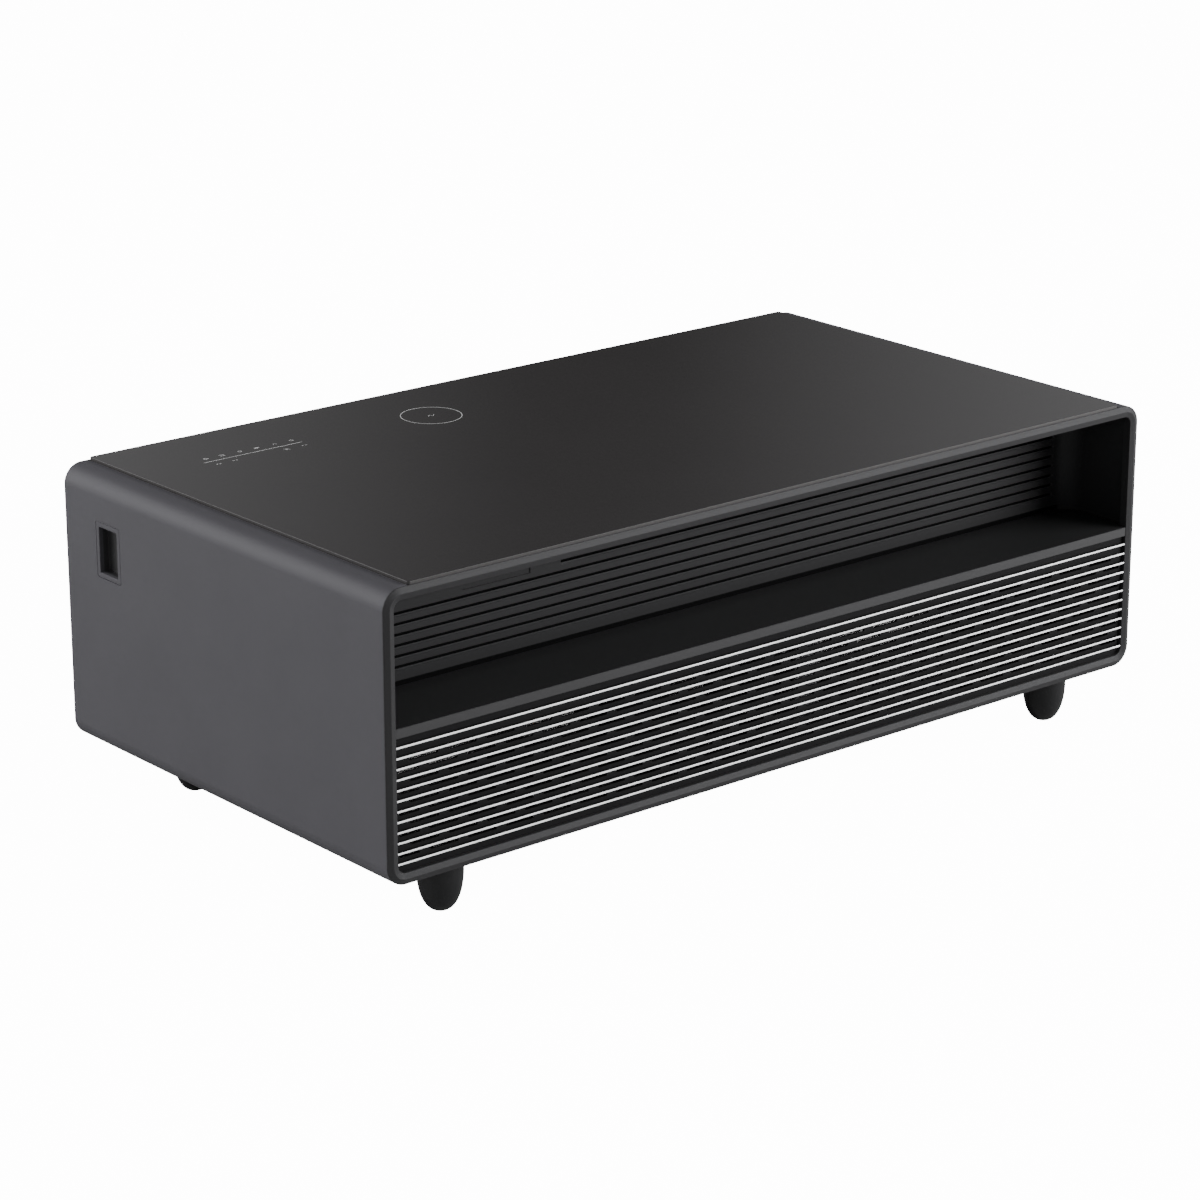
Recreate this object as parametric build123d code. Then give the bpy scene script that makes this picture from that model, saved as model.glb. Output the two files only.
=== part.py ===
from build123d import *
import os

# A refrigerator coffee table: glass top, open shelf and finned grille on one long side, two
# refrigerated drawers on the other. Millimetres, +Z up, origin on the floor under the middle.
# The shelf side faces -Y, the drawers open towards +Y, and the length runs along X.

os.makedirs("parts", exist_ok=True)

# Overall sizes, fits and the cutters' overshoot
table_length = 1300.0
table_depth = 700.0
foot_height = 71.5
shell_height = 378.0
seat_gap = 0.3
joint_gap = 0.5
overcut = 1.0

# Side panels: bent sheets that wrap over the top and under the base
shell_radius = 27.0
panel_wall = 4.0
flange_reach = 38.5
ledge_depth = 10.0
ledge_thickness = 6.0

# Glass top
glass_thickness = 6.0
glass_proud = 4.0
glass_corner_radius = 4.0
glass_edge_chamfer = 0.8

# Bevelled ring frames at both long sides
ring_width = 15.5
ring_ridge_inset = 8.5
ring_outer_fall = 3.3
ring_inner_fall = 2.3
ring_thickness = 4.3
skirt_wall = 3.0
skirt_depth = 10.0

# Shelf board with its front rail
shelf_top = 273.4
shelf_thickness = 13.0
rail_set_back = 2.8
rail_edge_chamfer = 0.8

# Ribbed liner of the open shelf
niche_depth = 121.5
liner_side_wall = 4.7
liner_back_wall = 9.0
niche_corner_radius = 30.0
kick_height = 8.0
kick_set_back = 4.0
kick_side_set_back = 2.5
lowest_groove_rise = 25.6
groove_count = 7
groove_pitch = 13.85
groove_depth = 4.5
groove_top_rise = 2.0
groove_floor_drop = 0.6
groove_lip_drop = 2.6
groove_run_out = 12.0
groove_end_inset = 50.0
groove_tip_share = 0.1
short_groove_inset = 367.0
label_recess_inset = 210.0
label_recess_width = 108.0
label_recess_rise = 104.0
label_recess_height = 18.0
label_recess_depth = 1.5

# Light channel in the shelf ceiling
light_end_inset = 50.0
light_width = 12.0
light_set_back = 25.0
light_thickness = 3.0

# Grille: a slotted plate with fins, and a bright strip along each fin
first_fin_rise = 27.9
fin_pitch = 13.585
fin_height = 3.2
fin_depth = 3.5
fin_top_margin = 8.0
strip_thickness = 1.2
strip_set_back = 2.3
strip_end_chamfer = 1.0
plate_thickness = 3.0
slot_length = 43.5
slot_pitch = 59.0
slot_height = 3.4
slot_rise = 7.9
slot_end_margin = 6.0
slot_shortest = 12.0

# Side socket in the left side panel
socket_inset_y = 103.5
socket_drop = 97.0
bezel_width = 54.0
bezel_height = 75.0
bezel_radius = 3.0
bezel_depth = 6.0
bezel_gap = 0.4
bezel_lip = 4.0
socket_window_width = 41.0
socket_window_height = 62.0
cup_depth = 34.0
cup_recess = 8.0

# Feet, each held by one bolt from inside
foot_inset_x = 116.0
front_foot_inset = 51.5
rear_foot_inset = 112.0
foot_top_radius = 30.0
foot_neck_radius = 22.7
foot_neck_height = 25.0
foot_toe_radius = 16.2
foot_toe_height = 5.5
foot_flat_radius = 8.5
bolt_radius = 4.0
bolt_bore_clearance = 0.05
bolt_neck_clearance = 0.5
bolt_neck_width = 8.0
bolt_head_width = 16.0
bolt_head_height = 4.0
bolt_engagement = 40.0

# Base panel: air slots under the machine bay
vent_count = 6
vent_length = 90.0
vent_width = 6.0
vent_pitch = 150.0

# Mains inlet under the base
inlet_end_inset = 220.0
inlet_bay_offset = 32.5
inlet_length = 50.0
inlet_width = 28.0
inlet_flange = 2.0
inlet_body_length = 30.0
inlet_body_width = 22.0
inlet_body_depth = 26.0
inlet_wall = 2.0
inlet_pin_pitch = 7.0

# Insulated cabinet with two drawer cavities
cabinet_side_gap = 50.0
machine_bay_depth = 255.0
cabinet_flange = 4.0
cabinet_wall = 30.0
cabinet_floor = 28.0
cabinet_roof = 30.0
cabinet_back = 33.0
cavity_corner_radius = 10.0

# Drawers
drawer_gap = 3.0
drawer_set_back = 3.5
front_thickness = 20.0
front_edge_chamfer = 1.5
finger_gap = 22.0
pull_channel_depth = 13.0
pull_channel_drop = 28.0
core_thickness = 6.5
core_inset = 1.0
plug_depth = 28.0
plug_clearance = 4.0
gasket_thickness = 9.7
gasket_width = 10.0
gasket_offset = 2.0
bin_wall = 3.0
bin_lift = 8.0
bin_height = 225.0
bin_corner_radius = 14.0
bin_back_clearance = 6.0
divider_thickness = 3.0
divider_height = 150.0
divider_offset = 110.0
grip_width = 90.0
grip_height = 26.0
grip_drop = 16.0

# Telescopic slides: three nested channel rails on each side of a drawer
rail_thickness = 1.5
rail_height = 45.0
rail_running_gap = 0.3
rail_web_gap = 0.5
rail_stack = 13.0
rail_lift = 33.0
rail_front_gap = 8.0
rail_flange_reach = 8.0
rail_flange_end_gap = 0.5

# Cold plates on the cavity back walls
cold_plate_width = 400.0
cold_plate_height = 200.0
cold_plate_thickness = 2.0
cold_channel_width = 8.0
cold_channel_height = 2.0
cold_channel_count = 5

# Compressor on its rubber blocks
compressor_x = -170.0
compressor_radius = 60.0
compressor_height = 140.0
compressor_seam_width = 4.0
compressor_seam_height = 6.0
compressor_crown_height = 22.0
compressor_crown_radius = 26.0
mount_plate_width = 170.0
mount_plate_depth = 120.0
mount_plate_thickness = 3.0
rubber_size = 22.0
rubber_height = 12.0

# Condenser, its fan and the refrigerant lines
condenser_x = 90.0
condenser_width = 44.0
condenser_depth = 150.0
condenser_height = 140.0
condenser_groove_count = 8
condenser_groove_depth = 8.0
condenser_groove_width = 6.0
condenser_margin = 8.0
fan_condenser_gap = 18.0
fan_size = 120.0
fan_width = 25.0
fan_bore_radius = 56.0
fan_hub_radius = 20.0
fan_blade_count = 6
fan_tip_gap = 1.5
fan_blade_thickness = 1.6
fan_blade_chord = 18.0
fan_blade_root = 2.0
fan_blade_angle = 35.0
fan_shaft_radius = 2.0
fan_shaft_clearance = 0.05
fan_spoke_width = 9.0
fan_spoke_depth = 4.0
line_radius = 3.2
discharge_drop = 28.0
suction_rise = 70.0
liquid_rise = 20.0

# Electronics
supply_x = 330.0
supply_length = 160.0
supply_depth = 90.0
supply_height = 45.0
supply_slot_count = 6
supply_slot_width = 5.0
supply_slot_depth = 3.0
supply_slot_margin = 12.0
control_x = 150.0
control_length = 180.0
control_depth = 90.0
board_thickness = 1.6
standoff_height = 8.0
standoff_size = 8.0
relay_height = 18.0
relay_size = 24.0
transformer_height = 30.0
transformer_size = 40.0
touch_inset_x = 215.0
touch_inset_y = 127.0
touch_length = 176.0
touch_width = 52.0
touch_pad_count = 6
touch_pad_size = 14.0
pocket_depth = 4.0
charger_inset_x = 505.0
charger_inset_y = 133.0
charger_plate_size = 60.0
charger_plate_thickness = 1.2
charger_coil_radius = 27.0

# Places worked out from the sizes above
half_length = table_length / 2
half_depth = table_depth / 2
shell_bottom = foot_height
shell_top = shell_bottom + shell_height
shell_middle = (shell_bottom + shell_top) / 2
side_inner = half_length - panel_wall
shell_end = half_depth - ring_thickness
skirt_inset = ring_width - skirt_wall
base_top = shell_bottom + skirt_inset
deck_bottom = shell_top - skirt_inset
board_half = half_length - shell_radius - joint_gap
pad_half = half_length - flange_reach - joint_gap
glass_bottom = shell_top + glass_proud - glass_thickness
window_half = half_length - ring_width
window_bottom = shell_bottom + ring_width
window_top = shell_top - ring_width
window_radius = shell_radius - ring_width
skirt_end = shell_end - skirt_depth
shelf_bottom = shelf_top - shelf_thickness
liner_half = side_inner - seat_gap
niche_half = liner_half - liner_side_wall
niche_back = -half_depth + niche_depth
liner_back = niche_back + liner_back_wall
strip_front = -half_depth + strip_set_back
fin_front = strip_front + strip_thickness
plate_front = fin_front + fin_depth
plate_back = plate_front + plate_thickness
panel_half = window_half - seat_gap
fin_count = int((shelf_bottom - fin_top_margin - shell_bottom - first_fin_rise) / fin_pitch) + 1
socket_y = half_depth - socket_inset_y
socket_z = shell_top - socket_drop
drawer_face = half_depth - drawer_set_back
front_back = drawer_face - front_thickness
core_back = front_back - core_thickness
plug_back = core_back - plug_depth
cabinet_face = core_back - gasket_thickness - seat_gap
cabinet_rear = plate_back + machine_bay_depth
cabinet_half = half_length - cabinet_side_gap
cavity_width = (2 * cabinet_half - 3 * cabinet_wall) / 2
cavity_x = (cavity_width + cabinet_wall) / 2
cavity_bottom = base_top + cabinet_floor
cavity_top = deck_bottom - cabinet_roof
cavity_height = cavity_top - cavity_bottom
cavity_middle = (cavity_bottom + cavity_top) / 2
cavity_rear = cabinet_rear + cabinet_back
front_width = (2 * window_half - 3 * drawer_gap) / 2
front_x = (front_width + drawer_gap) / 2
front_bottom = window_bottom + drawer_gap
front_top = window_top - finger_gap
bin_width = cavity_width - 2 * rail_stack
bin_bottom = cavity_bottom + bin_lift
bin_rear = cavity_rear + bin_back_clearance
rail_z = cavity_bottom + rail_lift
rail_length = plug_back - rail_front_gap - bin_rear
bay_y = (plate_back + cabinet_rear) / 2
inlet_x = half_length - inlet_end_inset
inlet_y = bay_y + inlet_bay_offset
compressor_base = base_top + rubber_height + mount_plate_thickness
compressor_top = compressor_base + compressor_height
fan_x = condenser_x - condenser_width / 2 - fan_condenser_gap - fan_width / 2
fan_z = base_top + fan_size / 2
touch_x = -half_length + touch_inset_x
touch_y = half_depth - touch_inset_y
charger_x = -half_length + charger_inset_x
charger_y = half_depth - charger_inset_y
pocket_floor = glass_bottom - pocket_depth


def block(x0, x1, y0, y1, z0, z1):
    """A rectangular solid between two corners."""
    middle = Pos((x0 + x1) / 2, (y0 + y1) / 2, (z0 + z1) / 2)
    return middle * Box(abs(x1 - x0), abs(y1 - y0), abs(z1 - z0))


def block_at(x, y, length, depth, z0, z1):
    """A rectangular solid centred on x and y."""
    return Pos(x, y, (z0 + z1) / 2) * Box(length, depth, z1 - z0)


def disc(radius, x, y, z0, z1):
    """A round solid standing along Z."""
    return Pos(x, y, (z0 + z1) / 2) * Cylinder(radius, z1 - z0)


def upright(sketch, y0, y1):
    """A sketch in X and Z, extruded from y0 to y1."""
    return Pos(0, y1, 0) * extrude(Plane.XZ * sketch, amount=y1 - y0)


def shell_outline(inset):
    """The shell's outline in X and Z, set in by an amount all round."""
    outline = RectangleRounded(table_length - 2 * inset, shell_height - 2 * inset,
                               shell_radius - inset)
    return Pos(0, shell_middle) * outline


def band(z0, z1):
    """A strip in X and Z, as long as the table, between two heights."""
    return Pos(0, (z0 + z1) / 2) * Rectangle(table_length, z1 - z0)


def group(solids):
    """Separate solids kept together in one node."""
    return Compound(children=[solid for shape in solids for solid in shape.solids()])


def save(name, shape):
    """Write one node."""
    export_step(shape, "parts/" + name + ".step")


# Side panels: one bent sheet each, with a flange over the top, one under the base, and a ledge
# inside that carries the shelf board's end
def side_panel(side):
    keep = Pos(side * (half_length - flange_reach / 2), shell_middle) * Rectangle(
        flange_reach, shell_height)
    sheet = upright((shell_outline(0) - shell_outline(panel_wall)) & keep, -shell_end, shell_end)
    ledge = block(side * side_inner, side * (side_inner - ledge_depth),
                  -skirt_end + seat_gap, cabinet_rear - seat_gap,
                  shelf_bottom - ledge_thickness, shelf_bottom)
    return sheet + ledge


def socket_plate(sketch, x0, x1):
    """A sketch in Y and Z, centred on the side socket, extruded from x0 to x1."""
    return Pos(x0, 0, 0) * extrude(Plane.YZ * (Pos(socket_y, socket_z) * sketch), amount=x1 - x0)


def left_side_panel():
    hole = RectangleRounded(bezel_width + 2 * bezel_gap, bezel_height + 2 * bezel_gap,
                            bezel_radius + bezel_gap)
    return side_panel(-1) - socket_plate(hole, -half_length - overcut, -side_inner + overcut)


# Socket bezel: a frame flush in the side panel's hole, with a lip behind the sheet
def socket_bezel():
    back = -half_length + bezel_depth
    frame = socket_plate(RectangleRounded(bezel_width, bezel_height, bezel_radius),
                         -half_length, back)
    lip = socket_plate(Rectangle(bezel_width + 2 * bezel_lip, bezel_height + 2 * bezel_lip),
                       -side_inner, back)
    window = socket_plate(Rectangle(socket_window_width, socket_window_height),
                          -half_length - overcut, back + overcut)
    return frame + lip - window


# Socket cup: the dark box behind the bezel, with a plain recessed face
def socket_cup():
    front = -half_length + bezel_depth
    box = socket_plate(Rectangle(bezel_width, bezel_height), front, front + cup_depth)
    recess = socket_plate(Rectangle(socket_window_width, socket_window_height),
                          front - overcut, front + cup_recess)
    return box - recess


# Ring frames: two bevels that meet in a ridge, with a thin skirt that reaches in
def bevel(outer_inset, outer_y, inner_inset, inner_y):
    """The solid between the shell's outline at one inset and the same at another."""
    outlines = [Pos(0, outer_y, 0) * (Plane.XZ * shell_outline(outer_inset)),
                Pos(0, inner_y, 0) * (Plane.XZ * shell_outline(inner_inset))]
    return loft(outlines, ruled=True)


def front_ring():
    outer_edge = -half_depth + ring_outer_fall
    inner_edge = -half_depth + ring_inner_fall
    ring = upright(shell_outline(0), outer_edge, -shell_end)
    ring += bevel(0, outer_edge, ring_ridge_inset, -half_depth)
    ring += upright(shell_outline(skirt_inset), -shell_end, -skirt_end)
    ring -= upright(shell_outline(ring_width), inner_edge - overcut, -skirt_end + overcut)
    ring -= bevel(ring_width, inner_edge, ring_ridge_inset, -half_depth)
    return ring


# Base panel: a board between the flanges, drilled for the foot bolts, the inlet and the air
def foot_places():
    front = -half_depth + front_foot_inset
    rear = half_depth - rear_foot_inset
    foot_x = half_length - foot_inset_x
    return ((-foot_x, front), (foot_x, front), (-foot_x, rear), (foot_x, rear))


def base_panel():
    panel = block(-pad_half, pad_half, -shell_end, shell_end,
                  shell_bottom, shell_bottom + panel_wall)
    panel += block(-board_half, board_half, -shell_end, shell_end,
                   shell_bottom + panel_wall, base_top)
    neck_hole = bolt_neck_width + 2 * bolt_neck_clearance
    head_pocket = bolt_head_width + 2 * bolt_neck_clearance
    cutters = []
    for x, y in foot_places():
        cutters.append(block_at(x, y, neck_hole, neck_hole,
                                shell_bottom - overcut, base_top + overcut))
        cutters.append(block_at(x, y, head_pocket, head_pocket,
                                base_top - bolt_head_height, base_top + overcut))
    for k in range(vent_count):
        x = (k - (vent_count - 1) / 2) * vent_pitch
        cutters.append(block_at(x, bay_y, vent_length, vent_width,
                                shell_bottom - overcut, base_top + overcut))
    cutters.append(block_at(inlet_x, inlet_y, inlet_body_length + 2 * seat_gap,
                            inlet_body_width + 2 * seat_gap,
                            shell_bottom - overcut, base_top + overcut))
    return panel - cutters


# Foot bolts: square necks and heads in the base panel, round shanks down into the feet
def foot_bolts():
    bolts = []
    head_bottom = base_top - bolt_head_height
    for x, y in foot_places():
        shank = disc(bolt_radius, x, y, foot_height - bolt_engagement + joint_gap, shell_bottom)
        neck = block_at(x, y, bolt_neck_width, bolt_neck_width, shell_bottom, head_bottom)
        head = block_at(x, y, bolt_head_width, bolt_head_width, head_bottom, base_top)
        bolts.append(shank + neck + head)
    return group(bolts)


# Feet: turned and tapered, with a rounded toe and a blind hole for the bolt
def foot(x, y):
    profile = Plane.XZ * Polygon(
        (0, 0), (foot_flat_radius, 0), (foot_toe_radius, foot_toe_height),
        (foot_neck_radius, foot_neck_height), (foot_top_radius, foot_height), (0, foot_height),
        align=None)
    bore = disc(bolt_radius + bolt_bore_clearance, 0, 0, foot_height - bolt_engagement,
                foot_height + overcut)
    return Pos(x, y, 0) * (revolve(profile, Axis.Z) - bore)


# Mains inlet: a flanged socket under the base, open downwards, with three flat pins
def mains_inlet():
    ceiling = shell_bottom + inlet_body_depth - inlet_wall
    inlet = block_at(inlet_x, inlet_y, inlet_length, inlet_width,
                     shell_bottom - inlet_flange, shell_bottom)
    inlet += block_at(inlet_x, inlet_y, inlet_body_length, inlet_body_width,
                      shell_bottom, shell_bottom + inlet_body_depth)
    inlet -= block_at(inlet_x, inlet_y, inlet_body_length - 2 * inlet_wall,
                      inlet_body_width - 2 * inlet_wall,
                      shell_bottom - inlet_flange - overcut, ceiling)
    for k in (-1, 0, 1):
        inlet += block_at(inlet_x + k * inlet_pin_pitch, inlet_y, inlet_wall, 2 * inlet_wall,
                          shell_bottom, ceiling)
    return inlet


# Top deck: the board under the glass, with pockets for the touch board and the charger
def top_deck():
    deck = block(-pad_half, pad_half, -shell_end, shell_end,
                 shell_top - panel_wall, glass_bottom)
    deck += block(-board_half, board_half, -shell_end, shell_end,
                  deck_bottom, shell_top - panel_wall)
    touch_pocket = block_at(touch_x, touch_y, touch_length + 2 * seat_gap,
                            touch_width + 2 * seat_gap, pocket_floor, glass_bottom + overcut)
    charger_pocket = block_at(charger_x, charger_y, charger_plate_size + 2 * seat_gap,
                              charger_plate_size + 2 * seat_gap,
                              pocket_floor, glass_bottom + overcut)
    return deck - [touch_pocket, charger_pocket]


# Glass top: one toughened pane with small corner radii and a ground edge
def glass_top():
    outline = RectangleRounded(2 * pad_half, 2 * (shell_end - seat_gap), glass_corner_radius)
    pane = Pos(0, 0, glass_bottom) * extrude(outline, amount=glass_thickness)
    return chamfer(pane.faces().sort_by(Axis.Z)[-1].edges(), glass_edge_chamfer)


def touch_board():
    board_top = pocket_floor + board_thickness
    board = block_at(touch_x, touch_y, touch_length, touch_width, pocket_floor, board_top)
    pad_pitch = touch_length / touch_pad_count
    for k in range(touch_pad_count):
        x = touch_x + (k - (touch_pad_count - 1) / 2) * pad_pitch
        board += block_at(x, touch_y, touch_pad_size, touch_pad_size,
                          board_top, glass_bottom - seat_gap)
    return board


def charger_coil():
    plate_top = pocket_floor + charger_plate_thickness
    plate = block_at(charger_x, charger_y, charger_plate_size, charger_plate_size,
                     pocket_floor, plate_top)
    return plate + disc(charger_coil_radius, charger_x, charger_y,
                        plate_top, glass_bottom - seat_gap)


# Shelf board: the floor of the open shelf, with its rail between the ring's side members
def shelf_board():
    rail_back = -skirt_end + seat_gap
    shelf = block(-panel_half, panel_half, -half_depth + rail_set_back, rail_back,
                  shelf_bottom, shelf_top)
    shelf += block(-liner_half, liner_half, rail_back, cabinet_rear, shelf_bottom, shelf_top)
    nose = shelf.edges().filter_by(Axis.X).group_by(Axis.Y)[0]
    return chamfer(nose, rail_edge_chamfer)


# Niche liner: one moulding with side walls, round back corners, grooves and a set-back kick
def niche_space(half, back, radius, z0, z1):
    """The open space of the shelf in plan, with round back corners, from z0 to z1."""
    front = -half_depth
    plan = Pos(0, (front + back - radius) / 2) * RectangleRounded(
        2 * half, back - front + radius, radius)
    return Pos(0, 0, z0) * extrude(plan, amount=z1 - z0)


def groove_section(x, z, share):
    """A groove's outline across its run: steep above, sloping below, at a share of its size."""
    floor = niche_back + groove_depth * share
    return Plane.YZ.offset(x) * Polygon(
        (niche_back - overcut, z + groove_top_rise * share),
        (floor, z + groove_top_rise * share),
        (floor, z - groove_floor_drop * share),
        (niche_back, z - groove_lip_drop * share),
        (niche_back - overcut, z - groove_lip_drop * share), align=None)


def groove(z, x0, x1):
    """One groove from x0 to x1, with an end that runs out to the face at each side."""
    full_left = groove_section(x0 + groove_run_out, z, 1.0)
    full_right = groove_section(x1 - groove_run_out, z, 1.0)
    cut = extrude(full_left, amount=x1 - x0 - 2 * groove_run_out, dir=(1, 0, 0))
    cut += loft([groove_section(x0, z, groove_tip_share), full_left], ruled=True)
    cut += loft([full_right, groove_section(x1, z, groove_tip_share)], ruled=True)
    return cut


def niche_liner():
    front = -skirt_end + seat_gap
    body = shell_outline(panel_wall + seat_gap) & band(shelf_top, deck_bottom)
    liner = upright(body, front, liner_back)
    liner -= niche_space(niche_half, niche_back, niche_corner_radius,
                         shelf_top + kick_height, deck_bottom + overcut)
    liner -= niche_space(niche_half + kick_side_set_back, niche_back + kick_set_back,
                         niche_corner_radius, shelf_top - overcut, shelf_top + kick_height)
    groove_end = half_length - groove_end_inset + groove_run_out
    for k in range(groove_count):
        z = shelf_top + lowest_groove_rise + k * groove_pitch
        topmost = k == groove_count - 1
        start = -half_length + short_groove_inset if topmost else -groove_end
        liner -= groove(z, start, groove_end)
    label_left = -half_length + label_recess_inset
    label_bottom = shelf_top + label_recess_rise
    liner -= block(label_left, label_left + label_recess_width,
                   niche_back - overcut, niche_back + label_recess_depth,
                   label_bottom, label_bottom + label_recess_height)
    return liner


def light_channel():
    half = half_length - light_end_inset
    front = -skirt_end + light_set_back
    return block(-half, half, front, front + light_width,
                 deck_bottom - light_thickness, deck_bottom)


# Grille panel: a plate with horizontal fins, and rows of slots that step by half a pitch
def fin_z(k):
    return shell_bottom + first_fin_rise + k * fin_pitch


def slot_spans(row):
    """Start and end of each slot in a row, kept clear of the plate's ends."""
    limit = panel_half - slot_end_margin
    shift = slot_pitch / 2 if row % 2 == 0 else 0.0
    reach = int(limit / slot_pitch) + 1
    spans = []
    for k in range(-reach - 1, reach + 1):
        middle = k * slot_pitch + shift
        start = max(middle - slot_length / 2, -limit)
        end = min(middle + slot_length / 2, limit)
        if end - start > slot_shortest:
            spans.append((start, end))
    return spans


def grille_panel():
    sheet = shell_outline(ring_width + seat_gap) & band(window_bottom, shelf_bottom)
    panel = upright(sheet, plate_front, plate_back)
    for k in range(fin_count):
        panel += block(-panel_half, panel_half, fin_front, plate_front,
                       fin_z(k) - fin_height / 2, fin_z(k) + fin_height / 2)
    slots = []
    for row in range(fin_count - 2):
        z = fin_z(row) + slot_rise
        for start, end in slot_spans(row):
            slots.append(block(start, end, plate_front - overcut, plate_back + overcut,
                               z - slot_height / 2, z + slot_height / 2))
    return panel - slots


# Grille strips: a bright strip with eased corners on each fin's front edge
def grille_strips():
    outline = Rectangle(2 * panel_half, fin_height)
    outline = chamfer(outline.vertices(), strip_end_chamfer)
    return group([upright(Pos(0, fin_z(k)) * outline, strip_front, fin_front)
                  for k in range(fin_count)])


# Fridge cabinet: a foam-filled body with two cavities and a front flange
def fridge_cabinet():
    flange_back = cabinet_face - cabinet_flange
    cabinet = block(-cabinet_half, cabinet_half, cabinet_rear, flange_back,
                    base_top, deck_bottom)
    flange = shell_outline(panel_wall + joint_gap) & band(base_top, deck_bottom)
    cabinet += upright(flange, flange_back, cabinet_face)
    for side in (-1, 1):
        mouth = Pos(side * cavity_x, cavity_middle) * RectangleRounded(
            cavity_width, cavity_height, cavity_corner_radius)
        cabinet -= upright(mouth, cavity_rear, cabinet_face + overcut)
    return cabinet


# Cold plates: a plate with a raised serpentine channel on each cavity's back wall
def cold_plate(side):
    x = side * cavity_x
    front = cavity_rear + cold_plate_thickness
    plate = block(x - cold_plate_width / 2, x + cold_plate_width / 2, cavity_rear, front,
                  cavity_middle - cold_plate_height / 2, cavity_middle + cold_plate_height / 2)
    pitch = cold_plate_height / cold_channel_count
    run_end = cold_plate_width / 2 - pitch
    half = cold_channel_width / 2
    for k in range(cold_channel_count):
        z = cavity_middle + (k - (cold_channel_count - 1) / 2) * pitch
        plate += block(x - run_end, x + run_end, front, front + cold_channel_height,
                       z - half, z + half)
        if k < cold_channel_count - 1:
            turn = x + (run_end - half if k % 2 == 0 else half - run_end)
            plate += block(turn - half, turn + half, front, front + cold_channel_height,
                           z, z + pitch)
    return plate


# Drawer front: a plain panel with a finger channel behind its top edge
def drawer_front(side):
    x = side * front_x
    panel = block(x - front_width / 2, x + front_width / 2, front_back, drawer_face,
                  front_bottom, front_top)
    outer_corner = panel.edges().filter_by(Axis.Y).sort_by_distance(
        (side * half_length, 0, shell_bottom))[0]
    panel = fillet(outer_corner, window_radius - drawer_gap)
    panel = chamfer(panel.faces().sort_by(Axis.Y)[-1].edges(), front_edge_chamfer)
    return panel - block(x - front_width, x + front_width, front_back - overcut,
                         front_back + pull_channel_depth,
                         front_top - pull_channel_drop, front_top + overcut)


# Door core: the insulated slab behind the front, with a plug that closes the cavity mouth
def door_core(side):
    half = front_width / 2 - core_inset
    x = side * front_x
    slab = block(x - half, x + half, core_back, front_back, front_bottom, window_top - drawer_gap)
    plug = block_at(side * cavity_x, (plug_back + core_back) / 2,
                    cavity_width - 2 * plug_clearance, plug_depth,
                    cavity_bottom + plug_clearance, cavity_top - plug_clearance)
    return slab + plug


# Door gasket: a soft frame with mitred corners between the slab and the cabinet's face
def door_gasket(side):
    inner = Rectangle(cavity_width + 2 * gasket_offset, cavity_height + 2 * gasket_offset)
    reach = gasket_offset + gasket_width
    outer = Rectangle(cavity_width + 2 * reach, cavity_height + 2 * reach)
    frame = Pos(side * cavity_x, cavity_middle) * (outer - inner)
    return upright(frame, core_back - gasket_thickness, core_back)


# Drawer bin: an open box with round corners
def drawer_bin(side):
    depth = plug_back - bin_rear
    outer = extrude(RectangleRounded(bin_width, depth, bin_corner_radius), amount=bin_height)
    inner = extrude(RectangleRounded(bin_width - 2 * bin_wall, depth - 2 * bin_wall,
                                     bin_corner_radius - bin_wall), amount=bin_height)
    return Pos(side * cavity_x, (bin_rear + plug_back) / 2, bin_bottom) * (
        outer - Pos(0, 0, bin_wall) * inner)


# Bin divider: a plate across the bin with a grip hole
def bin_divider(side):
    x = side * cavity_x
    y = bin_rear + divider_offset
    half = bin_width / 2 - bin_wall - seat_gap
    bottom = bin_bottom + bin_wall
    top = bottom + divider_height
    plate = block(x - half, x + half, y, y + divider_thickness, bottom, top)
    return plate - block(x - grip_width / 2, x + grip_width / 2,
                         y - overcut, y + divider_thickness + overcut,
                         top - grip_drop - grip_height, top - grip_drop)


# Telescopic slides: channel rails nested in one another, each web standing off the cavity wall
def channel_rail(wall_x, inward, web_start, web_end, flange_end, half_height):
    """A channel along Y, with its web and flange ends as distances from the cavity wall."""
    y0 = bin_rear
    y1 = bin_rear + rail_length
    rail = block(wall_x + inward * web_start, wall_x + inward * web_end, y0, y1,
                 rail_z - half_height, rail_z + half_height)
    for up in (-1, 1):
        rail += block(wall_x + inward * web_start, wall_x + inward * flange_end, y0, y1,
                      rail_z + up * half_height, rail_z + up * (half_height - rail_thickness))
    return rail


def outer_rail(wall_x, inward):
    return channel_rail(wall_x, inward, 0, rail_thickness,
                        rail_thickness + rail_flange_reach, rail_height / 2)


def middle_rail(wall_x, inward):
    web_start = rail_thickness + rail_web_gap
    nested = rail_height / 2 - rail_thickness - rail_running_gap
    return channel_rail(wall_x, inward, web_start, web_start + rail_thickness,
                        rail_stack - rail_thickness - rail_flange_end_gap, nested)


def inner_rail(wall_x, inward):
    nested = rail_height / 2 - 2 * (rail_thickness + rail_running_gap)
    return channel_rail(wall_x, inward, rail_stack, rail_stack - rail_thickness,
                        2 * (rail_thickness + rail_web_gap), nested)


# Compressor: a welded can with a seam, on a sheet plate
def compressor():
    shoulder = compressor_top - compressor_crown_height
    seam = (compressor_base + shoulder) / 2
    profile = Plane.XZ * Polygon(
        (0, compressor_base), (compressor_radius, compressor_base),
        (compressor_radius, seam - compressor_seam_height / 2),
        (compressor_radius + compressor_seam_width, seam),
        (compressor_radius, seam + compressor_seam_height / 2),
        (compressor_radius, shoulder), (compressor_crown_radius, compressor_top),
        (0, compressor_top), align=None)
    can = Pos(compressor_x, bay_y, 0) * revolve(profile, Axis.Z)
    return can + block_at(compressor_x, bay_y, mount_plate_width, mount_plate_depth,
                          base_top + rubber_height, compressor_base)


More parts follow.
